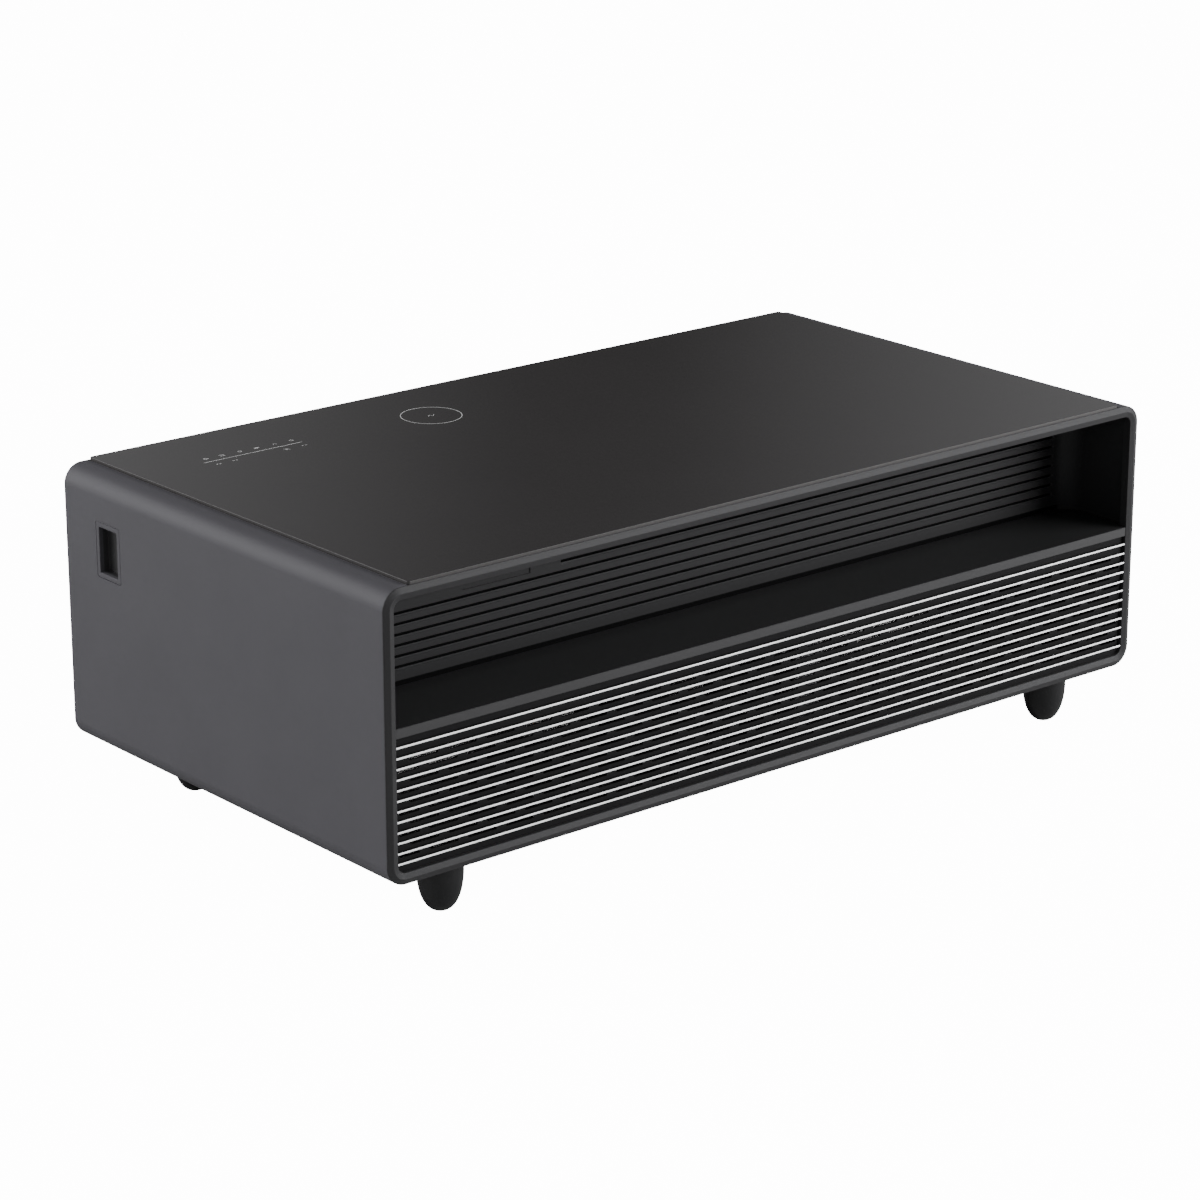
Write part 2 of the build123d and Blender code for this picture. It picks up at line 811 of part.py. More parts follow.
def compressor_rubbers():
    reach_x = (mount_plate_width - rubber_size) / 2
    reach_y = (mount_plate_depth - rubber_size) / 2
    return group([block_at(compressor_x + sx * reach_x, bay_y + sy * reach_y,
                           rubber_size, rubber_size, base_top, base_top + rubber_height)
                  for sx in (-1, 1) for sy in (-1, 1)])


# Condenser: a finned block, with upright grooves in the faces that the air meets
def condenser():
    core = block_at(condenser_x, bay_y, condenser_width, condenser_depth,
                    base_top, base_top + condenser_height)
    pitch = condenser_depth / (condenser_groove_count + 1)
    grooves = []
    for side in (-1, 1):
        face = condenser_x + side * condenser_width / 2
        for k in range(condenser_groove_count):
            y = bay_y + (k - (condenser_groove_count - 1) / 2) * pitch
            grooves.append(block(face - side * condenser_groove_depth, face + side * overcut,
                                 y - condenser_groove_width / 2, y + condenser_groove_width / 2,
                                 base_top + condenser_margin,
                                 base_top + condenser_height - condenser_margin))
    return core - grooves


# Condenser fan: a square frame with crossed spokes, and a bladed rotor on a shaft
def along_x(shape):
    """Turn a solid made along Z at the origin to lie along X at the fan's centre."""
    return Pos(fan_x, bay_y, fan_z) * Rot(0, 90, 0) * shape


def fan_frame():
    frame = Box(fan_size, fan_size, fan_width) - Cylinder(fan_bore_radius, fan_width + overcut)
    for angle in (45, 135):
        frame += Pos(0, 0, (fan_spoke_depth - fan_width) / 2) * Rot(0, 0, angle) * Box(
            2 * fan_bore_radius + overcut, fan_spoke_width, fan_spoke_depth)
    return along_x(frame - Cylinder(fan_shaft_radius + fan_shaft_clearance, fan_width + overcut))


def fan_rotor():
    hub_bottom = -fan_width / 2 + fan_spoke_depth + joint_gap
    hub_top = fan_width / 2 - joint_gap
    hub_middle = (hub_top + hub_bottom) / 2
    rotor = Pos(0, 0, hub_middle) * Cylinder(fan_hub_radius, hub_top - hub_bottom)
    root = fan_hub_radius - fan_blade_root
    tip = fan_bore_radius - fan_tip_gap
    for k in range(fan_blade_count):
        blade = Pos((root + tip) / 2, 0, 0) * Rot(fan_blade_angle, 0, 0) * Box(
            tip - root, fan_blade_thickness, fan_blade_chord)
        rotor += Pos(0, 0, hub_middle) * Rot(0, 0, 360 * k / fan_blade_count) * blade
    rotor += Pos(0, 0, (hub_bottom - fan_width / 2) / 2) * Cylinder(
        fan_shaft_radius, hub_bottom + fan_width / 2)
    return along_x(rotor)


# Refrigerant lines: discharge to the condenser, suction and liquid lines to the cabinet
def refrigerant_lines():
    discharge_start = compressor_x + compressor_radius
    discharge_end = condenser_x - condenser_width / 2
    discharge = Pos((discharge_start + discharge_end) / 2, bay_y,
                    compressor_top - discharge_drop) * Rot(0, 90, 0) * Cylinder(
        line_radius, discharge_end - discharge_start)
    lines = [discharge]
    for x, start, z in ((compressor_x, bay_y + compressor_radius, compressor_base + suction_rise),
                        (condenser_x, bay_y + condenser_depth / 2, base_top + liquid_rise)):
        lines.append(Pos(x, (start + cabinet_rear) / 2, z) * Rot(90, 0, 0) * Cylinder(
            line_radius, cabinet_rear - start))
    return group(lines)


# Power supply: a closed case with slots in its lid
def power_supply():
    top = base_top + supply_height
    case = block_at(supply_x, bay_y, supply_length, supply_depth, base_top, top)
    pitch = supply_length / (supply_slot_count + 1)
    slots = []
    for k in range(supply_slot_count):
        x = supply_x + (k - (supply_slot_count - 1) / 2) * pitch
        slots.append(block_at(x, bay_y, supply_slot_width, supply_depth - 2 * supply_slot_margin,
                              top - supply_slot_depth, top + overcut))
    return case - slots


# Control board: a board on standoffs behind the liner, with its relay and transformer
def control_board():
    y = (liner_back + cabinet_rear) / 2
    bottom = shelf_top + standoff_height
    top = bottom + board_thickness
    board = block_at(control_x, y, control_length, control_depth, bottom, top)
    reach_x = (control_length - standoff_size) / 2
    reach_y = (control_depth - standoff_size) / 2
    for sx in (-1, 1):
        for sy in (-1, 1):
            board += block_at(control_x + sx * reach_x, y + sy * reach_y,
                              standoff_size, standoff_size, shelf_top, bottom)
    board += block_at(control_x - relay_size, y, relay_size, relay_size, top, top + relay_height)
    board += block_at(control_x + transformer_size, y, transformer_size, transformer_size,
                      top, top + transformer_height)
    return board


save("left_side_panel", left_side_panel())
save("right_side_panel", side_panel(1))
save("socket_bezel", socket_bezel())
save("socket_cup", socket_cup())
save("front_ring", front_ring())
save("rear_ring", mirror(front_ring(), about=Plane.XZ))
save("base_panel", base_panel())
save("foot_bolts", foot_bolts())
save("mains_inlet", mains_inlet())
save("top_deck", top_deck())
save("glass_top", glass_top())
save("touch_board", touch_board())
save("charger_coil", charger_coil())
save("shelf_board", shelf_board())
save("niche_liner", niche_liner())
save("light_channel", light_channel())
save("grille_panel", grille_panel())
save("grille_strips", grille_strips())
save("fridge_cabinet", fridge_cabinet())
save("compressor", compressor())
save("compressor_rubbers", compressor_rubbers())
save("condenser", condenser())
save("fan_frame", fan_frame())
save("fan_rotor", fan_rotor())
save("refrigerant_lines", refrigerant_lines())
save("power_supply", power_supply())
save("control_board", control_board())

foot_names = ("front_left_foot", "front_right_foot", "rear_left_foot", "rear_right_foot")
for foot_name, (foot_x, foot_y) in zip(foot_names, foot_places()):
    save(foot_name, foot(foot_x, foot_y))

for word, side in (("left", -1), ("right", 1)):
    save(word + "_cold_plate", cold_plate(side))
    save(word + "_drawer_front", drawer_front(side))
    save(word + "_door_core", door_core(side))
    save(word + "_door_gasket", door_gasket(side))
    save(word + "_drawer_bin", drawer_bin(side))
    save(word + "_bin_divider", bin_divider(side))
    for number, wall in ((1, -1), (2, 1)):
        wall_x = side * cavity_x + wall * cavity_width / 2
        save(word + "_outer_rail_" + str(number), outer_rail(wall_x, -wall))
        save(word + "_middle_rail_" + str(number), middle_rail(wall_x, -wall))
        save(word + "_inner_rail_" + str(number), inner_rail(wall_x, -wall))
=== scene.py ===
import bmesh
import bpy
import math
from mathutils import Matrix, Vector


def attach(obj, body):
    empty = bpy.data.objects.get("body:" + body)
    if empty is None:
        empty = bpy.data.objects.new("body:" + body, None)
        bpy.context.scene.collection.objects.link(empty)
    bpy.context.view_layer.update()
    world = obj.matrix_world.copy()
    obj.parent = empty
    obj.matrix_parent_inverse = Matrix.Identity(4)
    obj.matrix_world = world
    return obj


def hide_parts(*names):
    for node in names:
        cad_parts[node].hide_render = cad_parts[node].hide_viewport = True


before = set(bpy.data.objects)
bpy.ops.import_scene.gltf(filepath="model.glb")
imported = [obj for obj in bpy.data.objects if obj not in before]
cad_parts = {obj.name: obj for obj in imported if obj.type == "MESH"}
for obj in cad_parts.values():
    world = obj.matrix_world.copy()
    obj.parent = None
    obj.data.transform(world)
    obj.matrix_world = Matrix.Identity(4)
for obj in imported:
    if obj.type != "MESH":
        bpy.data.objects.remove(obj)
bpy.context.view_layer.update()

# Side wraps
# Each is one sheet of 4 mm steel, bent over the top and under the base, powder-coated satin
# blue-grey. It carries the shelf board's end on a ledge, and is screwed to the boards from inside.
MM = 0.001
half_length = 650.0
half_depth = 350.0
shell_bottom = 71.5
shell_top = 449.5
shell_radius = 27.0
sheet_wall = 4.0
flange_reach = 38.5
wrap_end = 345.7
sheet_edge = 0.7
ledge_reach = 10.0
ledge_front, ledge_back = -335.4, -85.3
ledge_bottom, ledge_top = 254.4, 260.4
socket_y, socket_z = 246.5, 352.5
bezel_width, bezel_height, bezel_radius = 54.0, 75.0, 3.0
bezel_gap = 0.7
ledge_gap = 0.02
hole_overshoot = 5.0
smooth_angle = math.radians(38)


class Wire:
    """A value inside a finish. Sums written on it add the Math nodes that work them out."""

    def __init__(self, finish, socket):
        self.finish = finish
        self.socket = socket

    def maths(self, operation, *values):
        return self.finish.node("ShaderNodeMath", {"operation": operation}, dict(enumerate(values)))

    def __add__(self, other):
        return self.maths("ADD", self, other)

    def __sub__(self, other):
        return self.maths("SUBTRACT", self, other)

    def __mul__(self, other):
        return self.maths("MULTIPLY", self, other)

    def __truediv__(self, other):
        return self.maths("DIVIDE", self, other)

    def __rsub__(self, other):
        return self.maths("SUBTRACT", other, self)

    def __rtruediv__(self, other):
        return self.maths("DIVIDE", other, self)

    __radd__ = __add__
    __rmul__ = __mul__

    def __lt__(self, other):
        return self.maths("LESS_THAN", self, other)

    def __gt__(self, other):
        return self.maths("GREATER_THAN", self, other)

    def sine(self):
        return self.maths("SINE", self)

    def size(self):
        return self.maths("ABSOLUTE", self)

    def root(self):
        return self.maths("SQRT", self)

    def held(self):
        """The value kept between 0 and 1."""
        return self.maths("MAXIMUM", self.maths("MINIMUM", self, 1.0), 0.0)


class Nodes:
    """A node tree that is written with Wires."""

    def __init__(self, tree):
        self.tree = tree

    def feed(self, socket, value):
        if isinstance(value, Wire):
            self.tree.links.new(value.socket, socket)
        else:
            socket.default_value = value

    def node(self, kind, settings, inputs, output=0):
        """Any node: its settings are made first, then its sockets get their values or links."""
        made = self.tree.nodes.new(kind)
        for word, value in settings.items():
            setattr(made, word, value)
        for socket, value in inputs.items():
            self.feed(made.inputs[socket], value)
        return Wire(self, made.outputs[output])


class Finish(Nodes):
    """One material of the table, built on a Principled shader."""

    def __init__(self, name, colour, roughness, **constants):
        self.material = bpy.data.materials.new(name)
        self.material.use_nodes = True
        super().__init__(self.material.node_tree)
        self.shader = self.tree.nodes["Principled BSDF"]
        self.material.diffuse_color = (*colour, 1.0)
        self.give("Base Color", (*colour, 1.0))
        self.give("Roughness", roughness)
        for words, value in constants.items():
            self.give(words.replace("_", " ").title().replace("Ior", "IOR"), value)

    def give(self, socket, value):
        self.feed(self.shader.inputs[socket], value)

    def place(self, stretch=(1.0, 1.0, 1.0)):
        """The point in metres in the table's own frame, stretched along its axes."""
        point = self.node("ShaderNodeTexCoord", {}, {}, "Object")
        return self.node("ShaderNodeVectorMath", {"operation": "MULTIPLY"}, {0: point, 1: stretch})

    def axes(self):
        """The three coordinates in metres in the table's own frame."""
        point = self.node("ShaderNodeTexCoord", {}, {}, "Object")
        return [self.node("ShaderNodeSeparateXYZ", {}, {"Vector": point}, axis) for axis in "XYZ"]

    def noise(self, scale, detail=2.0, stretch=(1.0, 1.0, 1.0)):
        return self.node("ShaderNodeTexNoise", {},
                         {"Vector": self.place(stretch), "Scale": scale, "Detail": detail})

    def tint(self, share, colour, darkest, lightest):
        """Lets the base colour wander between a darker and a lighter shade of itself."""
        self.give("Base Color", self.mix(share, shade(colour, darkest), shade(colour, lightest)))

    def mix(self, share, first, second):
        """A colour between two. The node's colour sockets have no names of their own."""
        factor, one, other, colour = 0, 6, 7, 2
        return self.node("ShaderNodeMix", {"data_type": "RGBA"},
                         {factor: share, one: first, other: second}, colour)

    def relief(self, height, distance, strength=1.0):
        self.give("Normal", self.node("ShaderNodeBump", {},
                                      {"Strength": strength, "Distance": distance, "Height": height}))


def shade(colour, factor):
    """The colour made darker or lighter, with full alpha."""
    return tuple(min(1.0, c * factor) for c in colour) + (1.0,)


def coated(name, colour, roughness, grain=900.0, depth=0.00003, **constants):
    """Paint with a fine orange peel, cloudy by a few percent, and duller in places."""
    finish = Finish(name, colour, roughness, **constants)
    cloud = finish.noise(scale=9.0, detail=3.0)
    fleck = finish.noise(scale=grain * 2.2, detail=1.0)
    finish.tint(cloud * 0.7 + fleck * 0.3, colour, darkest=0.9, lightest=1.1)
    finish.give("Roughness", cloud * 0.06 + (roughness - 0.03))
    finish.relief(finish.noise(scale=grain), distance=depth)
    return finish


def eased(corners):
    """A closed outline from (u, v, radius) corners, with an arc at each corner that has one."""
    outline = []
    count = len(corners)
    fineness = 1.6
    for k, (u, v, radius) in enumerate(corners):
        here = Vector((u, v))
        if radius == 0:
            outline.append(here)
            continue
        back = (Vector(corners[k - 1][:2]) - here).normalized()
        ahead = (Vector(corners[(k + 1) % count][:2]) - here).normalized()
        half = back.angle(ahead) / 2
        centre = here + (back + ahead).normalized() * (radius / math.sin(half))
        start = here + back * (radius / math.tan(half)) - centre
        turn = start.angle_signed(here + ahead * (radius / math.tan(half)) - centre)
        steps = max(2, round(math.sqrt(radius) * fineness * abs(turn)))
        for step in range(steps + 1):
            angle = -turn * step / steps
            outline.append(centre + Vector((start.x * math.cos(angle) - start.y * math.sin(angle),
                                            start.x * math.sin(angle) + start.y * math.cos(angle))))
    return outline


def rectangle(left, right, low, high, radius=0.0):
    """The outline of a rectangle between its sides, with eased corners."""
    return eased([(left, low, radius), (right, low, radius), (right, high, radius),
                  (left, high, radius)])


def turning(outline):
    """Above zero where the outline runs anticlockwise."""
    return sum(a.x * b.y - b.x * a.y for a, b in zip(outline, outline[1:] + outline[:1]))


def drawn_in(outline, amount):
    """The outline moved inwards by an amount, along the bisector of each corner."""
    sign = 1.0 if turning(outline) > 0 else -1.0
    sharpest = 0.35
    moved = []
    for k, here in enumerate(outline):
        back = (here - outline[k - 1]).normalized()
        ahead = (outline[(k + 1) % len(outline)] - here).normalized()
        normal_back = Vector((-back.y, back.x)) * sign
        normal_ahead = Vector((-ahead.y, ahead.x)) * sign
        bisector = (normal_back + normal_ahead).normalized()
        moved.append(here + bisector * (amount / max(sharpest, bisector.dot(normal_back))))
    return moved


def stood_up(axis, u, v, along):
    """A point of an outline, put in the table's frame for a bar that runs along an axis."""
    return {"X": (along, u, v), "Y": (u, along, v), "Z": (u, v, along)}[axis]


def skin(loops, wrapped=False):
    """Points and faces of a skin over loops of equal length, closed by caps or onto itself."""
    count = len(loops[0])
    points = [point for loop in loops for point in loop]
    faces = []
    for row in range(len(loops) if wrapped else len(loops) - 1):
        low, high = row * count, (row + 1) % len(loops) * count
        for k in range(count):
            ahead = (k + 1) % count
            faces.append((low + k, low + ahead, high + ahead, high + k))
    if not wrapped:
        faces.append(tuple(range(count)))
        faces.append(tuple(range(len(points) - count, len(points))))
    return points, faces


def bar(outline, start, end, edge=0.0, axis="Z", other_edge=None):
    """An outline drawn along an axis, with its edges rounded at both ends."""
    other_edge = edge if other_edge is None else other_edge
    edge_steps = 3
    least_inset = 1e-6
    loops = []
    for spot, radius, direction in ((start, edge, 1), (end, other_edge, -1)):
        steps = edge_steps if radius else 0
        ring = []
        for step in range(steps + 1):
            angle = math.pi / 2 * step / max(steps, 1)
            inset = radius * (1 - math.sin(angle))
            along = spot + direction * radius * (1 - math.cos(angle))
            flat = drawn_in(outline, inset) if inset > least_inset else outline
            ring.append([stood_up(axis, p.x, p.y, along) for p in flat])
        loops += ring if direction == 1 else ring[::-1]
    return skin(loops)


def turned(profile, x, y, steps=64):
    """A profile of (radius, height) points turned about an upright axis."""
    loops = []
    for radius, height in profile:
        loops.append([(x + radius * math.cos(2 * math.pi * k / steps),
                       y + radius * math.sin(2 * math.pi * k / steps), height)
                      for k in range(steps)])
    return skin(loops)


def joined(parts):
    """Several shapes as one mesh's points and faces."""
    points, faces = [], []
    for part_points, part_faces in parts:
        start = len(points)
        points += part_points
        faces += [tuple(start + k for k in face) for face in part_faces]
    return points, faces


def tidied(mesh):
    """The mesh with its doubled points joined and its faces turned outwards."""
    work = bmesh.new()
    work.from_mesh(mesh)
    bmesh.ops.remove_doubles(work, verts=work.verts, dist=1e-6)
    bmesh.ops.recalc_face_normals(work, faces=work.faces)
    work.to_mesh(mesh)
    work.free()
    return mesh


def clean_mesh(name, points, faces):
    """A tidied mesh in metres from points in millimetres."""
    mesh = bpy.data.meshes.new(name)
    mesh.from_pydata([[c * MM for c in point] for point in points], [], faces)
    return tidied(mesh)


def in_scene(name, data):
    """A new object in the scene that holds the data."""
    made = bpy.data.objects.new(name, data)
    bpy.context.scene.collection.objects.link(made)
    return made


def piece(name, mesh, body, finish, stands_for=()):
    """Puts a mesh in the scene as one piece of the table, with soft edges in its shading."""
    if isinstance(mesh, tuple):
        mesh = clean_mesh(name, *mesh)
    mesh.shade_smooth()
    mesh.set_sharp_from_angle(angle=smooth_angle)
    mesh.materials.clear()
    mesh.materials.append(finish.material)
    made = in_scene(name, mesh)
    weighted = made.modifiers.new("even shading", "WEIGHTED_NORMAL")
    weighted.keep_sharp = True
    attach(made, body)
    if stands_for:
        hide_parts(*stands_for)
    return made


def finished(mesh_object):
    """The object's mesh with its modifiers worked in; the object itself goes."""
    bpy.context.view_layer.update()
    shown = mesh_object.evaluated_get(bpy.context.evaluated_depsgraph_get())
    mesh = bpy.data.meshes.new_from_object(shown)
    bpy.data.objects.remove(mesh_object)
    return mesh


def carved(name, body_shape, cutter_shape):
    """One shape cut out of another."""
    body = in_scene(name + "body", clean_mesh(name + "body", *body_shape))
    cutter = in_scene(name + "cutter", clean_mesh(name + "cutter", *cutter_shape))
    cut = body.modifiers.new("cut", "BOOLEAN")
    cut.object = cutter
    cut.operation = "DIFFERENCE"
    cut.solver = "EXACT"
    mesh = finished(body)
    bpy.data.objects.remove(cutter)
    return mesh


def wrap_outline(side):
    """The bent sheet's section in X and Z, mirrored for the other side."""
    end = half_length - flange_reach
    inner = half_length - sheet_wall
    inner_radius = shell_radius - sheet_wall
    corners = [(end, shell_top, sheet_edge), (half_length, shell_top, shell_radius),
               (half_length, shell_bottom, shell_radius), (end, shell_bottom, sheet_edge),
               (end, shell_bottom + sheet_wall, sheet_edge),
               (inner, shell_bottom + sheet_wall, inner_radius),
               (inner, shell_top - sheet_wall, inner_radius),
               (end, shell_top - sheet_wall, sheet_edge)]
    return eased([(side * x, z, radius) for x, z, radius in corners])


def wrap_sheet(side):
    """The bent sheet itself. The left one has a hole for the socket's frame."""
    sheet = bar(wrap_outline(side), -wrap_end, wrap_end, sheet_edge, "Y")
    if side > 0:
        return clean_mesh("right_wrap", *sheet)
    half_width = bezel_width / 2 + bezel_gap
    half_height = bezel_height / 2 + bezel_gap
    hole = rectangle(socket_y - half_width, socket_y + half_width, socket_z - half_height,
                     socket_z + half_height, bezel_radius + bezel_gap)
    cutter = bar(hole, -half_length - hole_overshoot, -half_length + hole_overshoot, axis="X")
    return carved("left_wrap", sheet, cutter)


def ledge(side):
    """The bar inside a wrap on which the shelf board's end rests."""
    wall = side * (half_length - sheet_wall - ledge_gap)
    start, end = sorted((wall, wall - side * ledge_reach))
    return bar(rectangle(start, end, ledge_bottom, ledge_top), ledge_front, ledge_back, axis="Y")


satin_colour = (0.074, 0.0725, 0.0800)
satin_shine = 0.22
wrap_finish = coated("satin_powder_coat", satin_colour, 0.5, specular_ior_level=satin_shine)

for word, side in (("left", -1), ("right", 1)):
    piece(word + "_side_wrap", wrap_sheet(side), "table", wrap_finish,
          [word + "_side_panel"])
    piece(word + "_shelf_ledge", ledge(side), "table", wrap_finish)

# Side socket
# A moulded frame sits flush in the left wrap's hole, painted to match; behind it is a deep black
# box with a plain recessed face, held by the frame's lip from inside.
bezel = (bezel_width, bezel_height)
window = (41.0, 62.0)
window_radius = 1.2
frame_edge = 0.5
frame_depth, cup_floor, cup_depth = 6.0, 14.0, 40.0
lip_reach, lip_radius = 4.0, 1.0
cup_radius = 2.0
plastic_black = (0.012, 0.012, 0.013)


def moulded(name, colour, roughness, grain=1400.0, depth=0.00002, **constants):
    """Spark-eroded moulded plastic: an even fine grain that breaks up the gloss."""
    finish = Finish(name, colour, roughness, **constants)
    grit = finish.noise(scale=grain, detail=3.0)
    finish.tint(finish.noise(scale=14.0), colour, darkest=0.88, lightest=1.12)
    finish.give("Roughness", grit * 0.12 + (roughness - 0.06))
    finish.relief(grit, distance=depth)
    return finish


def same_steps(width, height, corner, steps=8):
    """A rounded rectangle about the origin with a fixed number of steps in each corner."""
    outline = []
    for sx, sy, first in ((1, -1, -90), (1, 1, 0), (-1, 1, 90), (-1, -1, 180)):
        for step in range(steps + 1):
            angle = math.radians(first + 90 * step / steps)
            outline.append(Vector((sx * (width - corner) + corner * math.cos(angle),
                                   sy * (height - corner) + corner * math.sin(angle))))
    return outline


def socket_loop(size, wider, corner, depth):
    """A rounded rectangle at a depth behind the wrap's face, wider all round than a size."""
    half_width, half_height = (side / 2 + wider for side in size)
    return [(depth - half_length, socket_y + p.x, socket_z + p.y)
            for p in same_steps(half_width, half_height, corner)]


# Each row gives a size, how much wider it is, its corner radius and its depth. The frame's outer
# edge and its window's edge are rounded in short steps.
frame_rows = (
    (bezel, 0.0, bezel_radius, sheet_wall),
    (bezel, 0.0, bezel_radius, frame_edge),
    (bezel, -0.15, bezel_radius, 0.15),
    (bezel, -0.5, bezel_radius, 0.0),
    (window, 0.8, window_radius + 0.8, 0.0),
    (window, 0.25, window_radius + 0.3, 0.25),
    (window, 0.0, window_radius, 0.9),
    (window, 0.0, window_radius, frame_depth),
    (bezel, lip_reach, lip_radius, frame_depth),
    (bezel, lip_reach, lip_radius, sheet_wall),
)
piece("socket_frame", skin([socket_loop(*row) for row in frame_rows], wrapped=True), "table",
      wrap_finish, ["socket_bezel"])

cup_rows = (
    (window, -1.5, lip_radius, cup_floor),
    (window, -0.5, cup_radius, cup_floor - 0.3),
    (window, 0.0, cup_radius, cup_floor - 1.5),
    (window, 0.0, window_radius, frame_depth),
    (bezel, 0.0, cup_radius, frame_depth),
    (bezel, 0.0, cup_radius, cup_depth),
)
cup_finish = moulded("socket_moulding", (0.030, 0.030, 0.031), 0.5)
piece("socket_well", skin([socket_loop(*row) for row in cup_rows]), "table",
      cup_finish, ["socket_cup"])

# Frames of the long sides
# One moulded ring closes each long side: two soft bevels meet in a ridge, and a skirt reaches
# into the shell. Satin dark grey; the rear one frames the drawers.
ring_width = 15.5
ridge_inset = 7.8
outer_fall, inner_fall = 3.3, 2.3
skirt_wall = 3.0
skirt_end = 335.7
ring_gap = 0.15
ridge_gap = 0.02
bevel_edge, ridge_edge, skirt_edge = 0.5, 1.0, 0.4


def shell_path(inset, steps=14):
    """The shell's outline in X and Z at an inset, with the same number of points at any inset."""
    middle = (shell_bottom + shell_top) / 2
    height = (shell_top - shell_bottom) / 2
    return [(p.x, p.y + middle) for p in
            same_steps(half_length - inset, height - inset, shell_radius - inset, steps)]


def ring(side):
    """The ring's section, drawn round the shell's outline."""
    section = eased([(ring_gap, wrap_end, 0.0), (ring_gap, half_depth - outer_fall, bevel_edge),
                     (ridge_inset, half_depth - ridge_gap, ridge_edge),
                     (ring_width, half_depth - inner_fall, bevel_edge),
                     (ring_width, skirt_end, skirt_edge),
                     (ring_width - skirt_wall, skirt_end, skirt_edge),
                     (ring_width - skirt_wall, wrap_end, 0.0)])
    loops = [[(x, side * p.y, z) for x, z in shell_path(p.x)] for p in section]
    return skin(loops, wrapped=True)


ring_finish = coated("satin_frame_paint", (0.0235, 0.0235, 0.0245), 0.42, specular_ior_level=0.32)
piece("shelf_side_frame", ring(-1), "table", ring_finish, ["front_ring"])
piece("drawer_side_frame", ring(1), "table", ring_finish, ["rear_ring"])

# Base
# A board between the wraps' flanges, drilled for the foot bolts and slotted for air. It carries a
# plain black laminate, as the deck under the glass does, and the bolts are zinc-plated.


def show(names, finish):
    """Gives CAD nodes that keep their own shape a finish on their material slots."""
    for name in names:
        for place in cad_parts[name].material_slots:
            place.material = finish.material


def laminated(name, colour, roughness, run=(3.0, 60.0, 60.0)):
    """Black laminate with a faint pressed grain that runs along the board."""
    finish = Finish(name, colour, roughness)
    grain = finish.noise(scale=16.0, detail=6.0, stretch=run)
    cloud = finish.noise(scale=6.0)
    finish.tint(grain, colour, darkest=0.8, lightest=1.25)
    finish.give("Roughness", grain * 0.12 + cloud * 0.05 + (roughness - 0.08))
    finish.relief(grain, distance=0.00008)
    return finish


def plated(name, colour, roughness):
    """Zinc plating: soft crystals of slightly different grey, and a fine rolling grain."""
    finish = Finish(name, colour, roughness, metallic=1.0)
    crystal = finish.node("ShaderNodeTexVoronoi", {}, {"Vector": finish.place(), "Scale": 260.0},
                          "Color")
    level = finish.node("ShaderNodeSeparateXYZ", {}, {"Vector": crystal})
    rolling = finish.noise(scale=220.0, stretch=(1.0, 0.05, 1.0))
    finish.tint(level * 0.6 + rolling * 0.4, colour, darkest=0.82, lightest=1.12)
    finish.give("Roughness", level * 0.1 + rolling * 0.08 + (roughness - 0.09))
    finish.relief(rolling, distance=0.00001)
    return finish


board_finish = laminated("black_laminate", (0.020, 0.020, 0.022), 0.5)
steel_finish = plated("zinc_plated_steel", (0.56, 0.57, 0.60), 0.34)
show(["base_panel", "top_deck"], board_finish)
show(["foot_bolts"], steel_finish)

# Feet
# Four round feet of moulded plastic that widen upwards from a rounded toe, each drawn up against
# the base by one bolt. Matt black with a faint grain.
foot_height = 71.5
foot_places = {"front_left_foot": (-534.0, -298.5), "front_right_foot": (534.0, -298.5),
               "rear_left_foot": (-534.0, 238.0), "rear_right_foot": (534.0, 238.0)}
foot_radius, foot_swell = 29.97, 58.0
swell_power, toe_power, toe_lift = 2.2, 0.4, 0.4
edge_drop, edge_inset = 0.7, 0.6
foot_gap, axis_hair = 0.02, 0.02
foot_steps = (0.4, 1.2, 2.4, 4.0, 6.0, 8.5, 11.5, 15.0, 19.0, 23.5, 28.5, 34.0, 40.0, 46.0, 52.0, 57.9)


def swollen_radius(z):
    """The foot's radius at a height: it grows fast from the floor, and is full above the swell."""
    return foot_radius * (1 - (1 - z / foot_swell) ** swell_power) ** toe_power


foot_profile = [(axis_hair, 0.0)]
foot_profile += [(swollen_radius(z), max(z - toe_lift, 0.0)) for z in foot_steps]
foot_profile += [(foot_radius, foot_height - edge_drop),
                 (foot_radius - edge_inset, foot_height - foot_gap),
                 (axis_hair, foot_height - foot_gap)]
foot_finish = moulded("foot_moulding", (0.009, 0.009, 0.0095), 0.42, 500.0, 0.00003)
for name, (x, y) in foot_places.items():
    piece(name + "_turned", turned(foot_profile, x, y), "table", foot_finish, [name])

# Mains inlet
# A flanged three-pin socket moulded in black, let into the base panel and open downwards. No
# lead is shown, so none is made.
inlet_finish = moulded("inlet_moulding", plastic_black, 0.45)
show(["mains_inlet"], inlet_finish)

# Glass top
# One toughened pane, printed dark on its underside with a fine woven pattern, lying 4 mm proud of
# the wraps. The light marks are fired onto it: a charging ring, a touch line and small marks.
glass_half_x, glass_half_y = 611.0, 345.4
glass_bottom, glass_face = 447.5, 453.4
glass_corner, upper_edge, lower_edge = 4.0, 0.8, 0.4
weave_pitch = 0.0021


def printed_glass(name, colour, roughness):
    """Dark glass over a fine printed weave of short dashes that step from row to row."""
    finish = Finish(name, colour, roughness, ior=1.5)
    x, y, _ = finish.axes()
    turn = 2 * math.pi / weave_pitch
    warp = (x * turn).sine()
    weft = (y * turn * 0.5).sine()
    weave = (warp * weft) * 0.5 + 0.5
    cloud = finish.noise(scale=5.0, detail=3.0)
    finish.tint(weave * 0.8 + cloud * 0.2, colour, darkest=0.8, lightest=1.2)
    finish.give("Roughness", weave * 0.04 + cloud * 0.02 + (roughness - 0.03))
    finish.relief(weave, distance=0.000003)
    return finish


